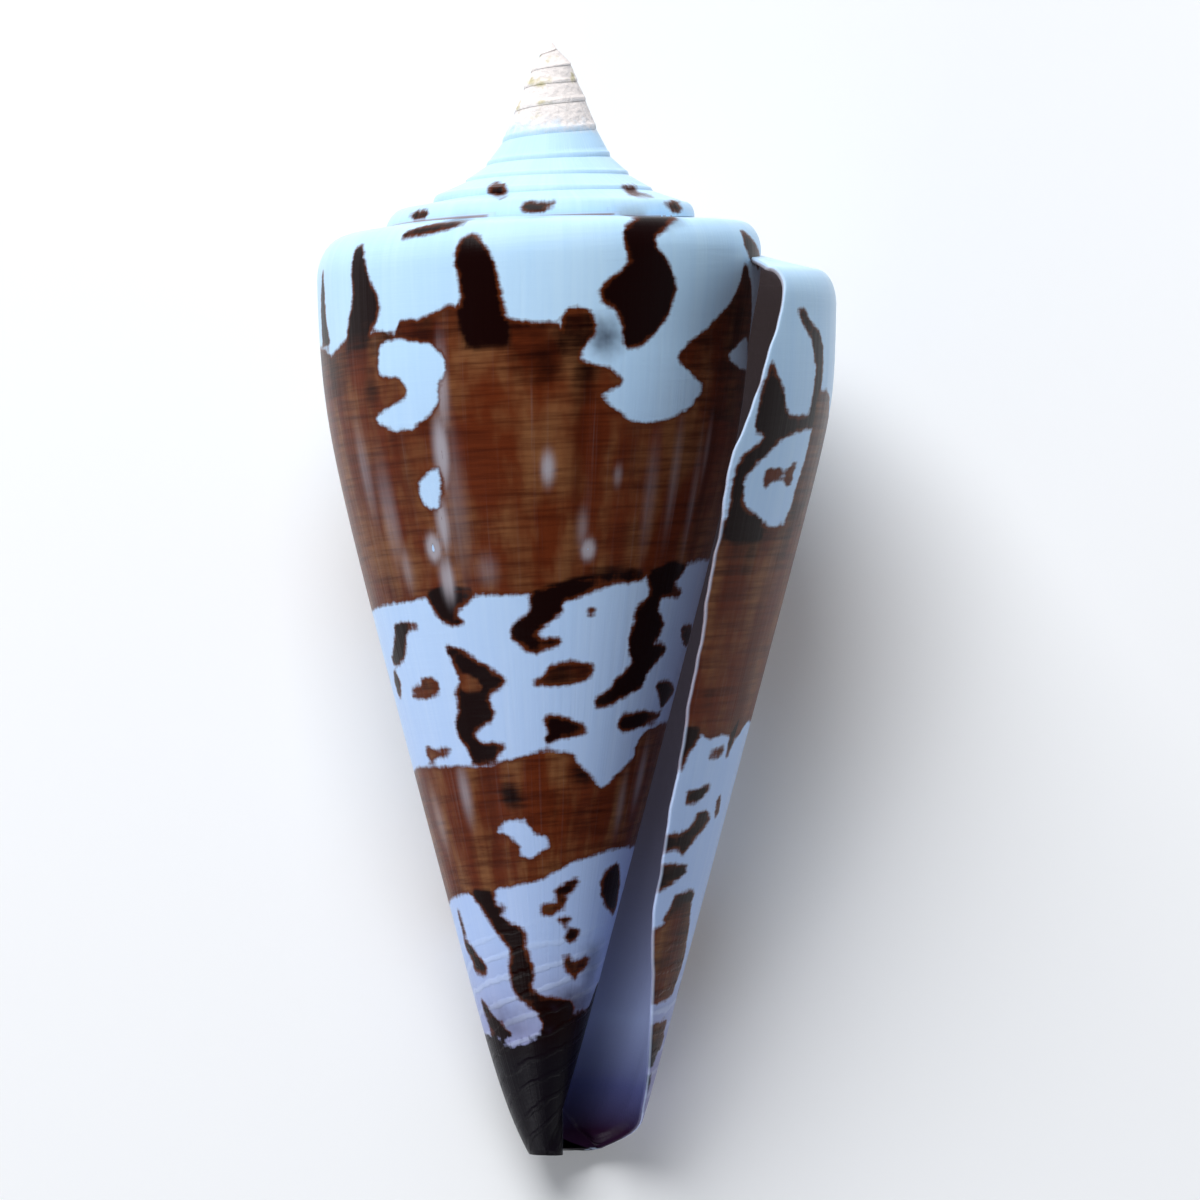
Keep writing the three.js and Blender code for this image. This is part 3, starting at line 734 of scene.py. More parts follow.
# Dusky patches in the bands and beside the marks
DUSKS = (
    SoftSpot(-1.0, 53.4, 4.6, 2.6, 0.55), SoftSpot(2.2, 52.4, 1.5, 2.4, 0.7),
    SoftSpot(-12.2, 51.8, 1.2, 2.6, 0.6), SoftSpot(11.8, 51.8, 1.5, 1.5, 0.55),
    SoftSpot(9.8, 47.0, 1.2, 4.0, 0.3), SoftSpot(-2.8, 24.2, 1.0, 1.3, 0.62),
    SoftSpot(2.0, 25.8, 1.4, 1.3, 0.66), SoftSpot(1.2, 23.0, 2.6, 2.4, 0.42),
    SoftSpot(-10.8, 48.2, 1.0, 1.4, 0.4), SoftSpot(5.6, 46.8, 1.2, 2.0, 0.25),
    SoftSpot(-5.0, 20.4, 1.0, 1.2, 0.3), SoftSpot(3.8, 39.4, 2.6, 0.5, 0.6),
    SoftSpot(13.4, 40.6, 1.3, 2.4, 0.6, Spread.PANEL),
    SoftSpot(10.6, 31.0, 1.0, 2.0, 0.4, Spread.PANEL),
)
# Pale streaks in the bands. The first six spots make the long pale streak left of the middle, which is
# partly the shell's own pale streak and partly a painted highlight.
VEILS_AND_HIGHLIGHT = (
    SoftSpot(-7.45, 51.6, 0.5, 3.4, 0.6), SoftSpot(-7.5, 47.4, 0.6, 2.4, 0.85),
    SoftSpot(-7.4, 42.6, 0.55, 2.0, 0.75), SoftSpot(-8.0, 40.9, 0.6, 0.9, 1.0),
    SoftSpot(-7.1, 38.8, 0.6, 1.6, 0.75), SoftSpot(-6.5, 44.0, 1.0, 7.0, 0.3),
    SoftSpot(-0.3, 46.3, 0.5, 1.2, 0.75), SoftSpot(2.4, 40.8, 0.5, 0.7, 0.9),
    SoftSpot(2.0, 42.2, 0.5, 1.6, 0.35), SoftSpot(4.4, 45.8, 0.4, 0.9, 0.4),
    SoftSpot(-4.4, 39.4, 1.0, 1.4, 0.3), SoftSpot(6.6, 44.6, 0.7, 5.0, 0.3),
    SoftSpot(8.2, 45.6, 0.5, 5.0, 0.34), SoftSpot(9.4, 44.0, 0.5, 5.0, 0.3),
    SoftSpot(10.4, 47.5, 0.4, 3.0, 0.32), SoftSpot(-12.6, 46.0, 1.0, 4.0, 0.34),
    SoftSpot(-11.0, 43.2, 1.0, 4.4, 0.36), SoftSpot(-9.8, 39.5, 0.8, 1.8, 0.34),
    SoftSpot(-5.9, 24.4, 0.6, 2.4, 0.5), SoftSpot(4.6, 23.6, 0.5, 2.6, 0.34),
    SoftSpot(5.9, 25.4, 0.6, 2.6, 0.42), SoftSpot(-7.6, 22.4, 0.9, 2.6, 0.34),
)


def rounded(outline: Array, passes: int = 1) -> Array:
    """Cut the corners off a closed outline, a quarter of each side at a time.

    Args:
        outline: the corners in order.
        passes: how many times to cut.

    Returns:
        The corners of the rounder outline.
    """
    for _ in range(passes):
        after = np.roll(outline, -1, axis=0)
        pair = np.stack([outline * 0.85 + after * 0.15, outline * 0.15 + after * 0.85], axis=1)
        outline = pair.reshape(-1, 2)
    return outline


def signed_distance(points: Array, outline: Array) -> Array:
    """Measure how far points are inside a closed outline.

    Args:
        points: an array of two coordinates a point.
        outline: the outline's corners in order.

    Returns:
        The distance to the nearest edge, above zero inside and below zero outside.
    """
    start, end = outline, np.roll(outline, -1, axis=0)
    edge = end - start
    away = points[:, None, :] - start[None, :, :]
    along = np.clip((away * edge).sum(-1) / np.maximum((edge * edge).sum(-1), 1e-9), 0.0, 1.0)
    gap = away - along[..., None] * edge
    distance = np.sqrt((gap * gap).sum(-1).min(axis=1))
    above = (start[None, :, 1] > points[:, None, 1]) != (end[None, :, 1] > points[:, None, 1])
    safe = np.where(np.abs(edge[:, 1]) < 1e-9, 1e-9, edge[:, 1])
    cross_at = start[:, 0] + (points[:, None, 1] - start[:, 1]) * edge[:, 0] / safe
    inside = (above & (points[:, None, 0] < cross_at)).sum(axis=1) % 2 == 1
    return np.where(inside, distance, -distance)


@dataclass
class Markings:
    """The pigment in the shell: how far each point is inside a mark, and how dark it is there."""

    growth: Growth
    eye_distance: float = 430.0
    eye: tuple[float, float] = (3.2, 37.4)
    lip_turn: float = 0.08
    sight_steps: int = 6
    bolder: float = 0.12
    margin: float = 1.5
    band_shade: float = 0.5
    shade_depth: float = 6.5
    tip_depth: float = 0.9
    clear_of_all: float = -3.0
    spire_spots_from: float = -3.46
    spire_spot_gap: float = 0.17
    seed: int = 7

    def to_sheet(self, outline: Outline, spread: Spread) -> Array:
        """Lay an outline that is drawn as seen from in front onto the sheet.

        Each corner goes along its line of sight, from the eye through the plane of the axis,
        to where the line meets the whorl's side.

        Args:
            outline: millimetres across and up the plane of the axis.
            spread: which stretch of the sheet it falls on.

        Returns:
            The turn and height of each corner.
        """
        drawn = np.array(outline, float)
        x, z = drawn[:, 0], drawn[:, 1]
        turn = np.full(len(x), FRONT if spread is Spread.BODY else self.lip_turn)
        for _ in range(self.sight_steps):
            radius = self.growth.side_radius(turn, z)
            x = np.clip(x, -radius * 0.9995, radius * 0.9995)
            near = 1.0 - np.sqrt(radius * radius - x * x) / self.eye_distance
            x = self.eye[0] + (drawn[:, 0] - self.eye[0]) * near
            z = self.eye[1] + (drawn[:, 1] - self.eye[1]) * near
            across = np.clip(x / radius, -1.0, 1.0)
            if spread is Spread.BODY:
                turn = FRONT - np.arcsin(across) / (2.0 * np.pi)
            else:
                turn = np.arccos(across) / (2.0 * np.pi)
        return np.stack([turn, z], axis=1)

    def apply(self, field_now: Array, depth_now: Array, turn: Array, z: Array, corners: Array,
              depth: float, clear: bool = False) -> None:
        """Add a mark to the pigment, or clear one from it.

        Args:
            field_now: how far each point is inside the pigment, changed in place.
            depth_now: how dark the pigment is, changed in place.
            turn: each point's turn.
            z: each point's height.
            corners: the mark's corners, as turns and heights.
            depth: how dark the mark is.
            clear: whether the mark is a clear window.
        """
        middle = corners.mean(axis=0)
        scale = 2.0 * np.pi * float(self.growth.side_radius(middle[0], middle[1]))
        low, high = corners.min(axis=0), corners.max(axis=0)
        near = (
            (turn > low[0] - self.margin / scale) & (turn < high[0] + self.margin / scale)
            & (z > low[1] - self.margin) & (z < high[1] + self.margin)
        )
        if not near.any():
            return
        place = np.stack([(turn[near] - middle[0]) * scale, z[near] - middle[1]], axis=1)
        outline = rounded((corners - middle) * np.array([scale, 1.0]))
        distance = signed_distance(place, outline) + (0.0 if clear else self.bolder)
        if clear:
            field_now[near] = np.minimum(field_now[near], -distance)
            return
        field_now[near] = np.maximum(field_now[near], distance)
        weight = smooth((distance + 0.25) / 0.5)
        depth_now[near] = depth_now[near] * (1.0 - weight) + depth * weight

    def edge_height(self, front: Outline, back: Outline, turn: Array) -> Array:
        """Give a band edge's height at each turn, from its front part and its hidden part.

        Args:
            front: the edge as seen from in front, from left to right.
            back: the turns and heights of the edge round the back.
            turn: where to read it.

        Returns:
            The height, by straight lines between the corners.
        """
        seen = self.to_sheet(front, Spread.BODY)
        corners = np.concatenate([seen, np.array(back, float)])
        corners = corners[np.argsort(corners[:, 0])]
        ripple = 0.35 * np.sin(turn * 61.0) + 0.25 * np.sin(turn * 143.0 + 1.0)
        hidden = smooth((turn + 0.52) / 0.04)
        return np.interp(turn, corners[:, 0], corners[:, 1]) + ripple * hidden

    def bands(self, turn: Array, z: Array) -> tuple[Array, Array]:
        """Work out the two brown bands and the dark front end.

        Args:
            turn: each point's turn.
            z: each point's height.

        Returns:
            How far each point is inside the pigment, and how dark it is.
        """
        top = self.edge_height(BAND_TOP, BAND_TOP_BACK, turn)
        bottom = self.edge_height(BAND_BOTTOM, BAND_BOTTOM_BACK, turn)
        low_top = self.edge_height(LOW_BAND_TOP, LOW_BAND_TOP_BACK, turn)
        low_bottom = self.edge_height(LOW_BAND_BOTTOM, LOW_BAND_BOTTOM_BACK, turn)
        tip = self.edge_height(TIP_TOP, TIP_TOP_BACK, turn)
        upper = np.minimum(top - z, z - bottom)
        lower = np.minimum(low_top - z, z - low_bottom)
        front_end = tip - z
        pigment = np.maximum(np.maximum(upper, lower), front_end)
        near_top = self.band_shade * smooth((self.shade_depth - (top - z)) / 6.0) * (upper > -0.5)
        depth = np.where(front_end > -0.3, self.tip_depth, near_top)
        return pigment, depth

    def hidden_marks(self) -> list[tuple[Array, float, bool]]:
        """Scatter marks like those in front over the side that lies on the table.

        Returns:
            Each mark's corners as turns and heights, its depth, and whether it is a window.
        """
        dice = np.random.default_rng(self.seed)
        placed: list[tuple[Array, float, bool]] = []

        def scatter(marks: tuple[Mark, ...], turns: Outline, clear: bool = False) -> None:
            """Put marks at places, each turned over or stretched a little.

            Args:
                marks: the marks to choose from in order.
                turns: the turn and height of each copy's middle.
                clear: whether they are windows.
            """
            for count, (turn, height) in enumerate(turns):
                mark = marks[count % len(marks)]
                corners = self.to_sheet(mark.outline, mark.spread)
                corners = corners - corners.mean(axis=0)
                side = dice.choice([-1.0, 1.0])
                breadth, height_share = side * dice.uniform(0.85, 1.2), dice.uniform(0.85, 1.15)
                corners *= np.array([breadth, height_share])
                placed.append((corners + np.array([turn, height]), mark.depth, clear))

        scatter((GREAT_FLAME, TALL_FINGER, LEFT_FINGER), HIDDEN_FLAMES)
        scatter((LEFT_WINDOW, RIGHT_WINDOW), HIDDEN_WINDOWS, clear=True)
        scatter((WINDOW_DRIP,), HIDDEN_DRIPS, clear=True)
        scatter((TREE, LEAF, SAW, FISH, CLIMBER, HALF_MOON), HIDDEN_MARKS)
        scatter((CLOUD, BAND_NOTCH), HIDDEN_CLOUDS, clear=True)
        scatter((RIBBON, SPOTS[0], SPOTS[1], SPOTS[4]), HIDDEN_RIBBONS)
        return placed

    def pigment(self, grid: Grid) -> tuple[Array, Array]:
        """Work out the pigment of the last whorl.

        Args:
            grid: the last whorl's points.

        Returns:
            How far each point is inside the pigment in millimetres, and its depth from 0 to 1.
        """
        turn, z = grid.turn.ravel(), grid.height.ravel()
        pigment, depth = self.bands(turn, z)
        pigment = np.where(turn > -1.06, pigment, self.clear_of_all)
        windows = (LEFT_WINDOW, WINDOW_DRIP, RIGHT_WINDOW, SMALL_WINDOW, BAND_NOTCH, CLOUD, PANEL_BLOB)
        under = (RIGHT_FLAME, BAND_STEP, PANEL_SAIL)
        over = (
            LEFT_FINGER, TALL_FINGER, GREAT_FLAME, SHOULDER_BLOT, EDGE_STREAK, SUTURE_WEDGE, BAND_LOBE,
            HOOK, CLIMBER, HALF_MOON, TREE, TREE_HEART, LEAF, SAW, DASH, COMMA, FISH, BROW, CREST,
            EDGE_CRESCENT, FRECKLE, RIBBON, BROKEN_CHAIN, *SPOTS, PANEL_HOOK, PANEL_EDGE, PANEL_CORNER,
            *PANEL_SPOTS, PANEL_BIRD,
        )
        for marks, clear in ((under, False), (windows, True), (over, False)):
            for mark in marks:
                how_dark = 0.0 if clear else mark.depth
                corners = self.to_sheet(mark.outline, mark.spread)
                self.apply(pigment, depth, turn, z, corners, how_dark, clear)
        hidden = self.hidden_marks()
        for corners, how_dark, clear in (m for m in hidden if m[2]):
            self.apply(pigment, depth, turn, z, corners, how_dark, clear)
        for corners, how_dark, clear in (m for m in hidden if not m[2]):
            self.apply(pigment, depth, turn, z, corners, how_dark, clear)
        return pigment, depth

    def spire_pigment(self, grid: Grid) -> tuple[Array, Array]:
        """Work out the spots on the spire and on the ramp of the last whorl's first half.

        Args:
            grid: the points to mark.

        Returns:
            How far each point is inside a spot, and its depth.
        """
        points = grid.points.reshape(-1, 3)
        turn, z = grid.turn.ravel(), grid.height.ravel()
        pigment, depth = np.full(len(turn), self.clear_of_all), np.zeros(len(turn))
        away = 1.0 + points[:, 1] / self.eye_distance
        seen = np.stack(
            [
                self.eye[0] + (points[:, 0] - self.eye[0]) / away,
                self.eye[1] + (points[:, 2] - self.eye[1]) / away,
            ],
            axis=1,
        )
        front = (points[:, 1] < -0.2) & (turn < -1.0)
        for mark in SPIRE_SPOTS:
            distance = signed_distance(seen[front], rounded(np.array(mark.outline)))
            pigment[front] = np.maximum(pigment[front], distance)
            weight = smooth((distance + 0.2) / 0.4)
            depth[front] = depth[front] * (1.0 - weight) + mark.depth * weight
        dice = np.random.default_rng(self.seed + 1)
        for start in np.arange(self.spire_spots_from, -1.0, self.spire_spot_gap):
            at = start + dice.uniform(-0.03, 0.03)
            if math.sin(-2.0 * math.pi * at) < 0.1:
                continue
            crown = float(self.growth.shoulder_height(at)) + 0.15
            scale = 2.0 * np.pi * float(self.growth.shoulder_radius(at))
            along = (turn - at) * scale / dice.uniform(0.8, 1.5)
            over = (z - crown) / dice.uniform(0.4, 0.7)
            spot = (1.0 - np.hypot(along, over)) * 0.5
            pigment = np.maximum(pigment, np.maximum(spot, self.clear_of_all))
            depth = np.where(spot > -0.2, 0.85, depth)
        return pigment, depth


# ---------------------------------------------------------------- finishes


@dataclass
class NodeTree:
    """A short way to write a material's nodes."""

    owner: bpy.types.Material | bpy.types.World

    def __post_init__(self) -> None:
        """Start from an empty tree."""
        self.owner.use_nodes = True
        self.tree = self.owner.node_tree
        self.tree.nodes.clear()

    def add(self, kind: str, **settings: object) -> bpy.types.Node:
        """Add a node.

        Args:
            kind: Blender's name for the node.
            settings: its properties.

        Returns:
            The node.
        """
        node = self.tree.nodes.new(kind)
        for name, value in settings.items():
            setattr(node, name, value)
        return node

    def set(self, socket: bpy.types.NodeSocket, value: object) -> None:
        """Link a socket into another, or give it a constant.

        Args:
            socket: the input to set.
            value: an output socket or a constant.
        """
        if isinstance(value, bpy.types.NodeSocket):
            self.tree.links.new(value, socket)
        else:
            socket.default_value = value

    def math(self, operation: str, *values: object) -> bpy.types.NodeSocket:
        """Do arithmetic on values.

        Args:
            operation: Blender's name for the sum.
            values: one, two or three outputs or constants.

        Returns:
            The result's socket.
        """
        node = self.add("ShaderNodeMath", operation=operation)
        for socket, value in zip(node.inputs, values):
            self.set(socket, value)
        return node.outputs[0]

    def times(self, first: object, second: object) -> bpy.types.NodeSocket:
        """Multiply two values."""
        return self.math("MULTIPLY", first, second)

    def plus(self, first: object, second: object) -> bpy.types.NodeSocket:
        """Add two values."""
        return self.math("ADD", first, second)

    def attribute(self, name: str) -> bpy.types.NodeSocket:
        """Read a number that is stored on each vertex."""
        return self.add("ShaderNodeAttribute", attribute_name=name).outputs["Fac"]

    def step(self, value: object, low: float, high: float) -> bpy.types.NodeSocket:
        """Rise smoothly from 0 at one value to 1 at another.

        Args:
            value: the value to read.
            low: where the step is 0.
            high: where it is 1, which may be below.

        Returns:
            The step's socket.
        """
        node = self.add("ShaderNodeMapRange", interpolation_type="SMOOTHSTEP", clamp=True)
        self.set(node.inputs["Value"], value)
        node.inputs["From Min"].default_value = low
        node.inputs["From Max"].default_value = high
        return node.outputs["Result"]

    def mix(
        self, share: object, first: object, second: object, blend: str = "MIX"
    ) -> bpy.types.NodeSocket:
        """Blend two colours.

        Args:
            share: how much of the second is taken, from 0 to 1.
            first: the colour under.
            second: the colour over.
            blend: Blender's name for the way of blending.

        Returns:
            The colour's socket.
        """
        node = self.add("ShaderNodeMix", data_type="RGBA", blend_type=blend, clamp_factor=True)
        self.set(node.inputs[0], share)
        self.set(node.inputs[6], first)
        self.set(node.inputs[7], second)
        return node.outputs[2]

    def noise(
        self, vector: object, scale: float, detail: float = 3.0, rough: float = 0.5
    ) -> bpy.types.NodeSocket:
        """Read fractal noise at a place, centred on zero.

        Args:
            vector: the place.
            scale: waves in one unit of length.
            detail: how many finer layers are added.
            rough: how strong each finer layer is.

        Returns:
            The noise's socket, mostly between -0.3 and 0.3.
        """
        node = self.add("ShaderNodeTexNoise")
        self.set(node.inputs["Vector"], vector)
        node.inputs["Scale"].default_value = scale
        node.inputs["Detail"].default_value = detail
        node.inputs["Roughness"].default_value = rough
        return self.math("SUBTRACT", node.outputs["Fac"], 0.5)

    def place(self, x: object, y: object, z: object = 0.0) -> bpy.types.NodeSocket:
        """Join three numbers into a place.

        Args:
            x: the first number.
            y: the second.
            z: the third.

        Returns:
            The place's socket.
        """
        node = self.add("ShaderNodeCombineXYZ")
        for socket, value in zip(node.inputs, (x, y, z)):
            self.set(socket, value)
        return node.outputs[0]

    def ramp(self, value: object, stops: tuple[tuple[float, Colour], ...]) -> bpy.types.NodeSocket:
        """Read a colour along a row of stops.

        Args:
            value: the value to read.
            stops: each stop's value and colour, in order.

        Returns:
            The colour's socket.
        """
        node = self.add("ShaderNodeValToRGB")
        self.set(node.inputs[0], value)
        elements = node.color_ramp.elements
        while len(elements) < len(stops):
            elements.new(0.5)
        for element, (position, colour) in zip(elements, stops):
            element.position, element.color = position, colour
        return node.outputs[0]


@dataclass(frozen=True)
class ShellFinish:
    """Glossy enamel with brown pigment under it, a worn apex and a lilac grey inside."""

    top_white: Colour = rgb(200, 232, 254)
    middle_white: Colour = rgb(196, 220, 252)
    low_white: Colour = rgb(186, 206, 244)
    lilac: Colour = rgb(150, 146, 186)
    brown: Colour = rgb(100, 42, 18)
    deep_brown: Colour = rgb(60, 18, 6)
    tan: Colour = rgb(130, 84, 52)
    black: Colour = rgb(22, 4, 3)
    fringe: Colour = rgb(92, 42, 18)
    smoky: Colour = rgb(34, 34, 52)
    pale: Colour = rgb(166, 158, 164)
    tip_lilac: Colour = rgb(56, 46, 66)
    tip_black: Colour = rgb(18, 13, 20)
    inside_top: Colour = rgb(156, 142, 144)
    inside_middle: Colour = rgb(138, 134, 152)
    inside_low: Colour = rgb(146, 158, 196)
    inside_end: Colour = rgb(38, 18, 40)
    inside_deep: Colour = rgb(74, 78, 122)
    lip_glint: Colour = rgb(196, 212, 238)
    growth_shade: Colour = rgb(222, 236, 250)
    cord_white: Colour = rgb(224, 236, 252)
    worn: Colour = rgb(246, 236, 230)
    stain: Colour = rgb(206, 196, 158)
    length: float = 75.0
    girth: float = 80.0
    band_rise: float = 4.0
    cord_rise: float = 9.0
    roughness: float = 0.3
    gloss: float = 0.09
    # painted light: how strongly the inside glows in its own colour
    glow: float = 0.06

    def build(self) -> bpy.types.Material:
        """Build the material.

        Returns:
            A material that reads the piece's UV map, as turns and height, and its attributes.
        """
        material = bpy.data.materials.new("shell_enamel")
        n = NodeTree(material)
        uv = n.add("ShaderNodeUVMap", uv_map="growth").outputs[0]
        split = n.add("ShaderNodeSeparateXYZ")
        n.set(split.inputs[0], uv)
        turn, height = split.outputs[0], split.outputs[1]
        where = n.add("ShaderNodeTexCoord").outputs["Object"]
        millimetres = n.times(height, self.length)
        around = n.times(turn, self.girth)
        up = n.plus(millimetres, n.times(turn, self.band_rise))
        # fine lines, threads and patches that follow the shell round and up
        growth_lines = n.noise(n.place(n.times(around, 2.2), n.times(up, 0.06)), 1.0, 4.0, 0.6)
        wide_lines = n.noise(n.place(n.times(around, 0.35), n.times(up, 0.05)), 1.0, 3.0)
        threads = n.noise(n.place(n.times(around, 0.16), n.times(up, 2.4)), 1.0, 3.0, 0.6)
        clouds = n.noise(n.place(n.times(around, 0.22), n.times(up, 0.2)), 1.0, 3.0)
        patches = n.noise(n.place(n.times(around, 0.42), n.times(up, 0.17), 5.0), 1.0, 3.0)
        ragged = n.noise(where, 1500.0, 3.0, 0.6)
        blotches = n.noise(where, 420.0, 3.0, 0.6)
        tip = n.step(height, 0.17, 0.1)

        # the white ground, with cords near the front end and grey clouds under it
        white = n.ramp(height, ((0.08, self.lilac), (0.2, self.low_white), (0.45, self.middle_white),
                                (0.8, self.top_white)))
        shade = n.step(n.plus(growth_lines, wide_lines), -0.5, 0.3)
        white = n.mix(n.times(shade, 0.4), white, self.growth_shade, "MULTIPLY")
        rising = n.plus(millimetres, n.times(turn, self.cord_rise))
        wave = n.math("SINE", n.times(n.plus(rising, n.times(blotches, 1.2)), 4.2))
        cords = n.times(n.math("POWER", n.step(wave, 0.3, 1.0), 2.0), n.step(height, 0.23, 0.16))
        cords = n.times(cords, n.math("SUBTRACT", 1.0, n.attribute("inside")))
        white = n.mix(n.times(cords, 0.22), white, self.cord_white)
        smoke = n.step(n.plus(n.attribute("smoke"), n.times(blotches, 0.7)), 0.15, 1.1)
        white = n.mix(smoke, white, n.mix(n.step(height, 0.34, 0.24), self.smoky, self.tip_lilac))

        # the pigment: brown with darker threads, black where it lies deep
        # pale veils over the pigment; the long pale streak left of the middle among them is partly a
        # painted highlight
        veil_and_highlight = n.times(n.attribute("veil_and_highlight"), n.plus(n.times(growth_lines, 0.7), 1.0))
        brown = n.mix(n.step(patches, -0.1, 0.2), self.brown, self.tan)
        brown = n.mix(n.times(n.step(threads, -0.15, 0.25), 0.7), brown, self.deep_brown)
        brown = n.mix(n.times(n.step(wide_lines, -0.02, 0.3), 0.7), brown, self.deep_brown)
        brown = n.mix(n.times(n.step(growth_lines, 0.05, 0.35), 0.12), brown, self.pale)
        depth = n.plus(n.attribute("depth"), n.times(clouds, 0.7))
        depth = n.plus(depth, n.times(n.plus(blotches, threads), 0.35))
        pigment_colour = n.mix(n.step(depth, 0.2, 0.75), brown, self.black)
        pigment_colour = n.mix(n.step(veil_and_highlight, 0.05, 0.8), pigment_colour, self.pale)
        lilac_share = n.times(tip, n.step(blotches, 0.05, 0.5))
        pigment_colour = n.mix(lilac_share, pigment_colour, self.tip_lilac)
        pigment_colour = n.mix(n.step(height, 0.13, 0.08), pigment_colour, self.tip_black)

        # where the pigment lies, with a ragged edge and a tan fringe
        edge = n.plus(n.attribute("pigment"), n.times(ragged, 0.35))
        edge = n.plus(edge, n.times(threads, 0.4))
        edge = n.plus(edge, n.times(growth_lines, 0.3))
        edge = n.plus(edge, n.times(n.times(blotches, tip), 3.0))
        # strong veils clear the pigment to white, partly as a painted highlight along the long pale streak
        edge = n.math("SUBTRACT", edge, n.times(n.step(veil_and_highlight, 0.72, 1.15), 6.0))
        rim = n.plus(edge, n.times(blotches, 0.8))
        fringed = n.times(n.step(rim, 0.34, -0.02), n.math("SUBTRACT", 1.0, tip))
        pigment_colour = n.mix(fringed, pigment_colour, self.fringe)
        outside = n.mix(n.step(edge, -0.2, 0.14), white, pigment_colour)

        # the inside, and the pale glint along the lip
        inside = n.ramp(height, ((0.02, self.inside_end), (0.06, self.inside_deep), (0.12, self.inside_low),
                                 (0.3, self.inside_middle), (0.75, self.inside_top)))
        inner = n.attribute("inside")
        edge_glint = n.times(n.step(inner, 0.1, 0.3), n.step(inner, 0.75, 0.5))
        inside = n.mix(edge_glint, inside, self.lip_glint)
        colour = n.mix(inner, outside, inside)

        # the worn and stained apex
        wear = n.step(n.plus(height, n.times(ragged, 0.02)), 0.913, 0.93)
        stained = n.mix(n.step(n.noise(where, 700.0, 3.0), 0.06, 0.2), self.worn, self.stain)
        colour = n.mix(wear, colour, stained)

        # gloss and relief
        rough = n.plus(self.roughness, n.times(clouds, 0.1))
        rough = n.plus(n.times(wear, 0.45), rough)
        relief = n.plus(n.times(growth_lines, 0.03), n.times(threads, 0.02))
        relief = n.plus(relief, n.times(cords, 0.04))
        grain = n.times(n.noise(where, 1800.0, 4.0), wear)
        relief = n.plus(relief, n.times(grain, 0.22))
        bump = n.add("ShaderNodeBump")
        bump.inputs["Strength"].default_value = 1.0
        bump.inputs["Distance"].default_value = MM
        n.set(bump.inputs["Height"], relief)

        shader = n.add("ShaderNodeBsdfPrincipled")
        n.set(shader.inputs["Base Color"], colour)
        n.set(shader.inputs["Roughness"], rough)
        n.set(shader.inputs["Normal"], bump.outputs[0])
        shader.inputs["Specular IOR Level"].default_value = self.gloss
        # painted light: the inside gives off a faint glow in its own colour, standing in for light through
        # the thin wall
        lit = n.mix(inner, (0.0, 0.0, 0.0, 1.0), inside)
        n.set(shader.inputs["Emission Color"], lit)
        shader.inputs["Emission Strength"].default_value = self.glow
        output = n.add("ShaderNodeOutputMaterial")
        n.tree.links.new(shader.outputs[0], output.inputs[0])
        return material


@dataclass(frozen=True)
class TableFinish:
    """A plain pale table top."""

    colour: Colour = rgb(237, 237, 237)
    glow: float = 0.12

    def build(self) -> bpy.types.Material:
        """Build the material.

        Returns:
            A matte material with a faint light of its own, like a lit table.
        """
        material = bpy.data.materials.new("table_top")
        n = NodeTree(material)
        shader = n.add("ShaderNodeBsdfPrincipled")
        shader.inputs["Base Color"].default_value = self.colour
        shader.inputs["Roughness"].default_value = 0.7
        shader.inputs["Emission Color"].default_value = (1.0, 1.0, 1.0, 1.0)
        shader.inputs["Emission Strength"].default_value = self.glow
        output = n.add("ShaderNodeOutputMaterial")
        n.tree.links.new(shader.outputs[0], output.inputs[0])
        return material


# ---------------------------------------------------------------- the shell as a piece


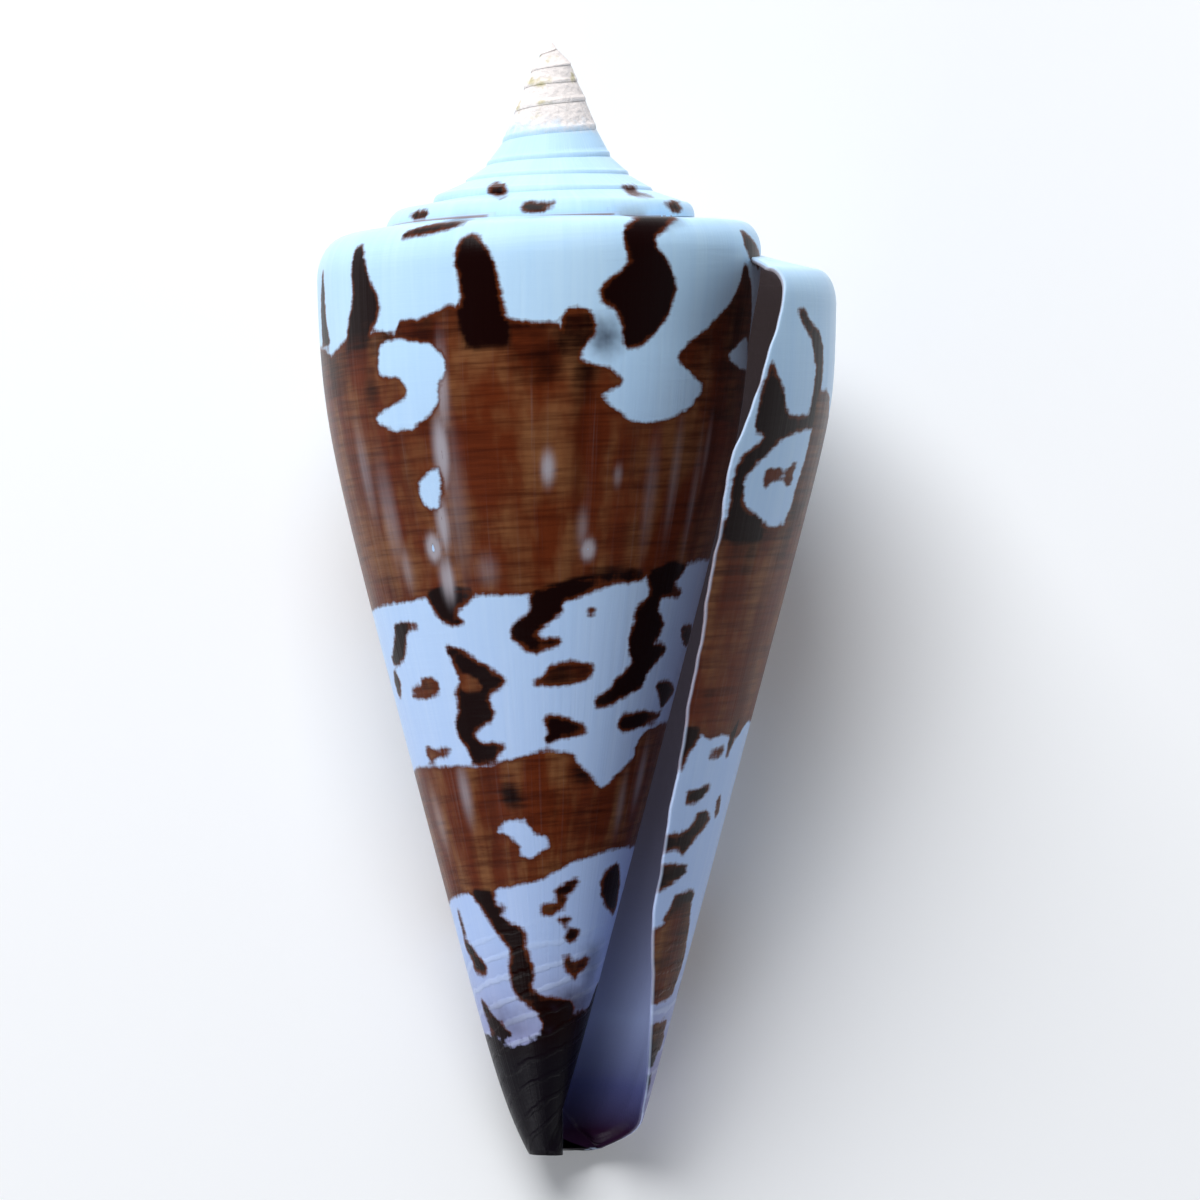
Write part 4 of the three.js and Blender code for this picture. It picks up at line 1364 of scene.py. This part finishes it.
@dataclass
class ConeShell:
    """The whole shell: its winding sheet, its markings and the way it lies."""

    growth: Growth = field(default_factory=Growth)
    finish: ShellFinish = field(default_factory=ShellFinish)
    pitch: float = 14.3
    worn_flat: float = 0.45

    def lying(self, points: Array) -> tuple[Array, Matrix]:
        """Lay the upright shell on its back, inside the box of the solid that it stands for.

        Args:
            points: the upright shell's points in millimetres.

        Returns:
            The points in metres, and the matrix that took them there.
        """
        tilt = Matrix.Rotation(math.radians(self.pitch - 90.0), 4, "X")
        turned = points @ np.array(tilt.to_3x3()).T * MM
        low, high = (np.array(v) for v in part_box("shell"))
        shift = (low + high - turned.max(axis=0) - turned.min(axis=0)) / 2.0
        shift[2] = low[2] - turned[:, 2].min() - self.worn_flat * MM
        log.info("over the solid's box by %s mm", np.round((turned + shift - high).max(axis=0) / MM, 3))
        matrix = Matrix.Translation(Vector(shift)) @ Matrix.Scale(MM, 4) @ tilt
        return np.clip(turned + shift, low, high), matrix

    def soft_spots(self, grid: Grid, spots: Array) -> Array:
        """Lay soft round spots on the sheet.

        Args:
            grid: the points.
            spots: a row for each spot, of turn, height, half breadth, half height and strength.

        Returns:
            The strongest spot at each point, each fading as a bell with the distance.
        """
        turn, z = grid.turn.ravel(), grid.height.ravel()
        total = np.zeros(len(turn))
        for at, height, breadth, tall, strength in spots:
            scale = 2.0 * np.pi * float(self.growth.side_radius(at, height))
            reach = ((turn - at) * scale / breadth) ** 2 + ((z - height) / tall) ** 2
            total = np.maximum(total, strength * np.exp(-np.minimum(reach, 50.0)))
        return total

    def spots_in_front(self, grid: Grid, marks: Markings, spots: tuple[SoftSpot, ...]) -> Array:
        """Lay soft spots on the sheet, each given as seen from in front.

        Args:
            grid: the points.
            marks: the markings, which know where a place seen from in front is on the sheet.
            spots: the spots.

        Returns:
            The strongest spot at each point.
        """
        middles = np.concatenate([marks.to_sheet(((s.across, s.up),), s.spread) for s in spots])
        sizes = np.array([(s.breadth, s.height, s.strength) for s in spots])
        return self.soft_spots(grid, np.concatenate([middles, sizes], axis=1))

    def build(self) -> tuple[bpy.types.Object, Matrix]:
        """Build the shell's mesh and dress it.

        Returns:
            The object, and the matrix from the upright shell in millimetres to where it lies.
        """
        surface = SheetSurface(self.growth)
        marks = Markings(self.growth)
        whorl, spire = surface.last_whorl(), surface.spire()
        grids = [whorl, spire]
        pigment, depth = marks.pigment(whorl)
        upper_pigment, upper_depth = marks.spire_pigment(whorl)
        depth = np.where(upper_pigment > pigment, upper_depth, depth)
        pigment = np.maximum(pigment, upper_pigment)
        depth = np.maximum(depth, self.spots_in_front(whorl, marks, DUSKS))
        spire_pigment, spire_depth = marks.spire_pigment(spire)
        points = np.concatenate([g.points.reshape(-1, 3) for g in grids])
        faces = np.concatenate([whorl.faces(0), spire.faces(whorl.turn.size)])
        placed, matrix = self.lying(points)
        mesh = bpy.data.meshes.new("shell_surface")
        mesh.from_pydata(placed.tolist(), [], faces.tolist())
        mesh.polygons.foreach_set("use_smooth", np.ones(len(faces), bool))
        values = {
            "pigment": np.concatenate([pigment, spire_pigment]),
            "depth": np.concatenate([depth, spire_depth]),
            "inside": np.concatenate([g.inside.ravel() for g in grids]),
            "smoke": np.concatenate([self.soft_spots(g, np.array(SMOKE)) for g in grids]),
            # pale veils, partly a painted highlight along the long streak left of the middle
            "veil_and_highlight": np.concatenate([self.spots_in_front(g, marks, VEILS_AND_HIGHLIGHT) for g in grids]),
        }
        for name, value in values.items():
            mesh.attributes.new(name, "FLOAT", "POINT").data.foreach_set("value", value.astype(np.float32))
        turn = np.concatenate([g.turn.ravel() for g in grids])
        height = np.concatenate([g.height.ravel() for g in grids])
        corners = np.empty(len(mesh.loops), np.int32)
        mesh.loops.foreach_get("vertex_index", corners)
        uv = np.stack([turn[corners], height[corners] / self.growth.length], axis=1)
        mesh.uv_layers.new(name="growth").data.foreach_set("uv", uv.astype(np.float32).ravel())
        mesh.materials.append(self.finish.build())
        mesh.update()
        shell = bpy.data.objects.new("shell_surface", mesh)
        bpy.context.scene.collection.objects.link(shell)
        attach(shell, "root")
        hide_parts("shell")
        return shell, matrix


# ---------------------------------------------------------------- the studio


@dataclass(frozen=True)
class Lamp:
    """A soft square lamp that faces the shell: its place in metres, its watts and its side."""

    name: str
    place: tuple[float, float, float]
    power: float
    size: float
    colour: Colour


@dataclass
class Studio:
    """The table, the lights and the camera."""

    eye_distance: float = 430.0
    aim: tuple[float, float] = (3.2, 37.4)
    frame_width: float = 80.9
    sensor: float = 36.0
    table_finish: TableFinish = field(default_factory=TableFinish)
    table_half: float = 1.5
    lamps: tuple[Lamp, ...] = (
        Lamp("key", (-0.17, 0.45, 0.52), 6.1, 0.5, rgb(250, 252, 255)),
        Lamp("fill", (-0.45, -0.8, 0.26), 2.6, 0.4, rgb(248, 250, 255)),
    )
    air: tuple[tuple[float, Colour], ...] = (
        (0.0, rgb(208, 214, 222)),
        (0.35, rgb(150, 156, 166)),
        (0.75, rgb(56, 60, 66)),
    )

    def table(self) -> None:
        """Make the table top as one large square at the height that the shell rests on."""
        size = self.table_half
        mesh = bpy.data.meshes.new("table_top")
        corners = [(-size, -size, 0.0), (size, -size, 0.0), (size, size, 0.0), (-size, size, 0.0)]
        mesh.from_pydata(corners, [], [(0, 1, 2, 3)])
        mesh.materials.append(self.table_finish.build())
        table = bpy.data.objects.new("table_top", mesh)
        bpy.context.scene.collection.objects.link(table)

    def hang(self, lamp: Lamp) -> None:
        """Hang one lamp and turn it to the shell.

        Args:
            lamp: the lamp.
        """
        data = bpy.data.lights.new(lamp.name, "AREA")
        data.energy, data.size, data.color = lamp.power, lamp.size, lamp.colour[:3]
        light = bpy.data.objects.new(lamp.name, data)
        place = Vector(lamp.place)
        light.location = place
        light.rotation_euler = (-place).to_track_quat("-Z", "Y").to_euler()
        bpy.context.scene.collection.objects.link(light)

    def lights(self) -> None:
        """Light the shell from beyond its apex, fill in from its front end, and add pale air."""
        for lamp in self.lamps:
            self.hang(lamp)
        world = bpy.data.worlds.new("studio_air")
        world.use_nodes = True
        n = NodeTree(world)
        split = n.add("ShaderNodeSeparateXYZ")
        n.set(split.inputs[0], n.add("ShaderNodeTexCoord").outputs["Generated"])
        background = n.add("ShaderNodeBackground")
        n.set(background.inputs[0], n.ramp(split.outputs[2], self.air))
        n.tree.links.new(background.outputs[0], n.add("ShaderNodeOutputWorld").inputs[0])
        bpy.context.scene.world = world

    def camera(self, lie: Matrix) -> None:
        """Set the camera square to the shell's axis, on the side of the opening.

        Args:
            lie: the matrix from the upright shell in millimetres to where it lies.
        """
        target = lie @ Vector((self.aim[0], 0.0, self.aim[1]))
        eye = lie @ Vector((self.aim[0], -self.eye_distance, self.aim[1]))
        apex = lie @ Vector((self.aim[0], 0.0, self.aim[1] + 1.0)) - target
        back = (eye - target).normalized()
        right = apex.normalized().cross(back)
        turn = Matrix((right, back.cross(right), back)).transposed()
        data = bpy.data.cameras.new("camera")
        data.sensor_width = self.sensor
        data.lens = self.sensor * self.eye_distance / self.frame_width
        data.clip_start, data.clip_end = 0.01, 10.0
        camera = bpy.data.objects.new("camera", data)
        camera.matrix_world = Matrix.Translation(eye) @ turn.to_4x4()
        bpy.context.scene.collection.objects.link(camera)
        bpy.context.scene.camera = camera

    def build(self, lie: Matrix) -> None:
        """Build the whole studio round the shell.

        Args:
            lie: the matrix from the upright shell in millimetres to where it lies.
        """
        self.table()
        self.lights()
        self.camera(lie)


def main() -> None:
    """Build the shell and its studio."""
    logging.basicConfig(level=logging.INFO, format="%(name)s: %(message)s")
    bpy.context.scene.view_settings.view_transform = "Standard"
    shell, lie = ConeShell().build()
    log.info("%s: %d faces", shell.name, len(shell.data.polygons))
    Studio().build(lie)
    log.info("studio: table, lights and camera")


if __name__ == "__main__":
    main()
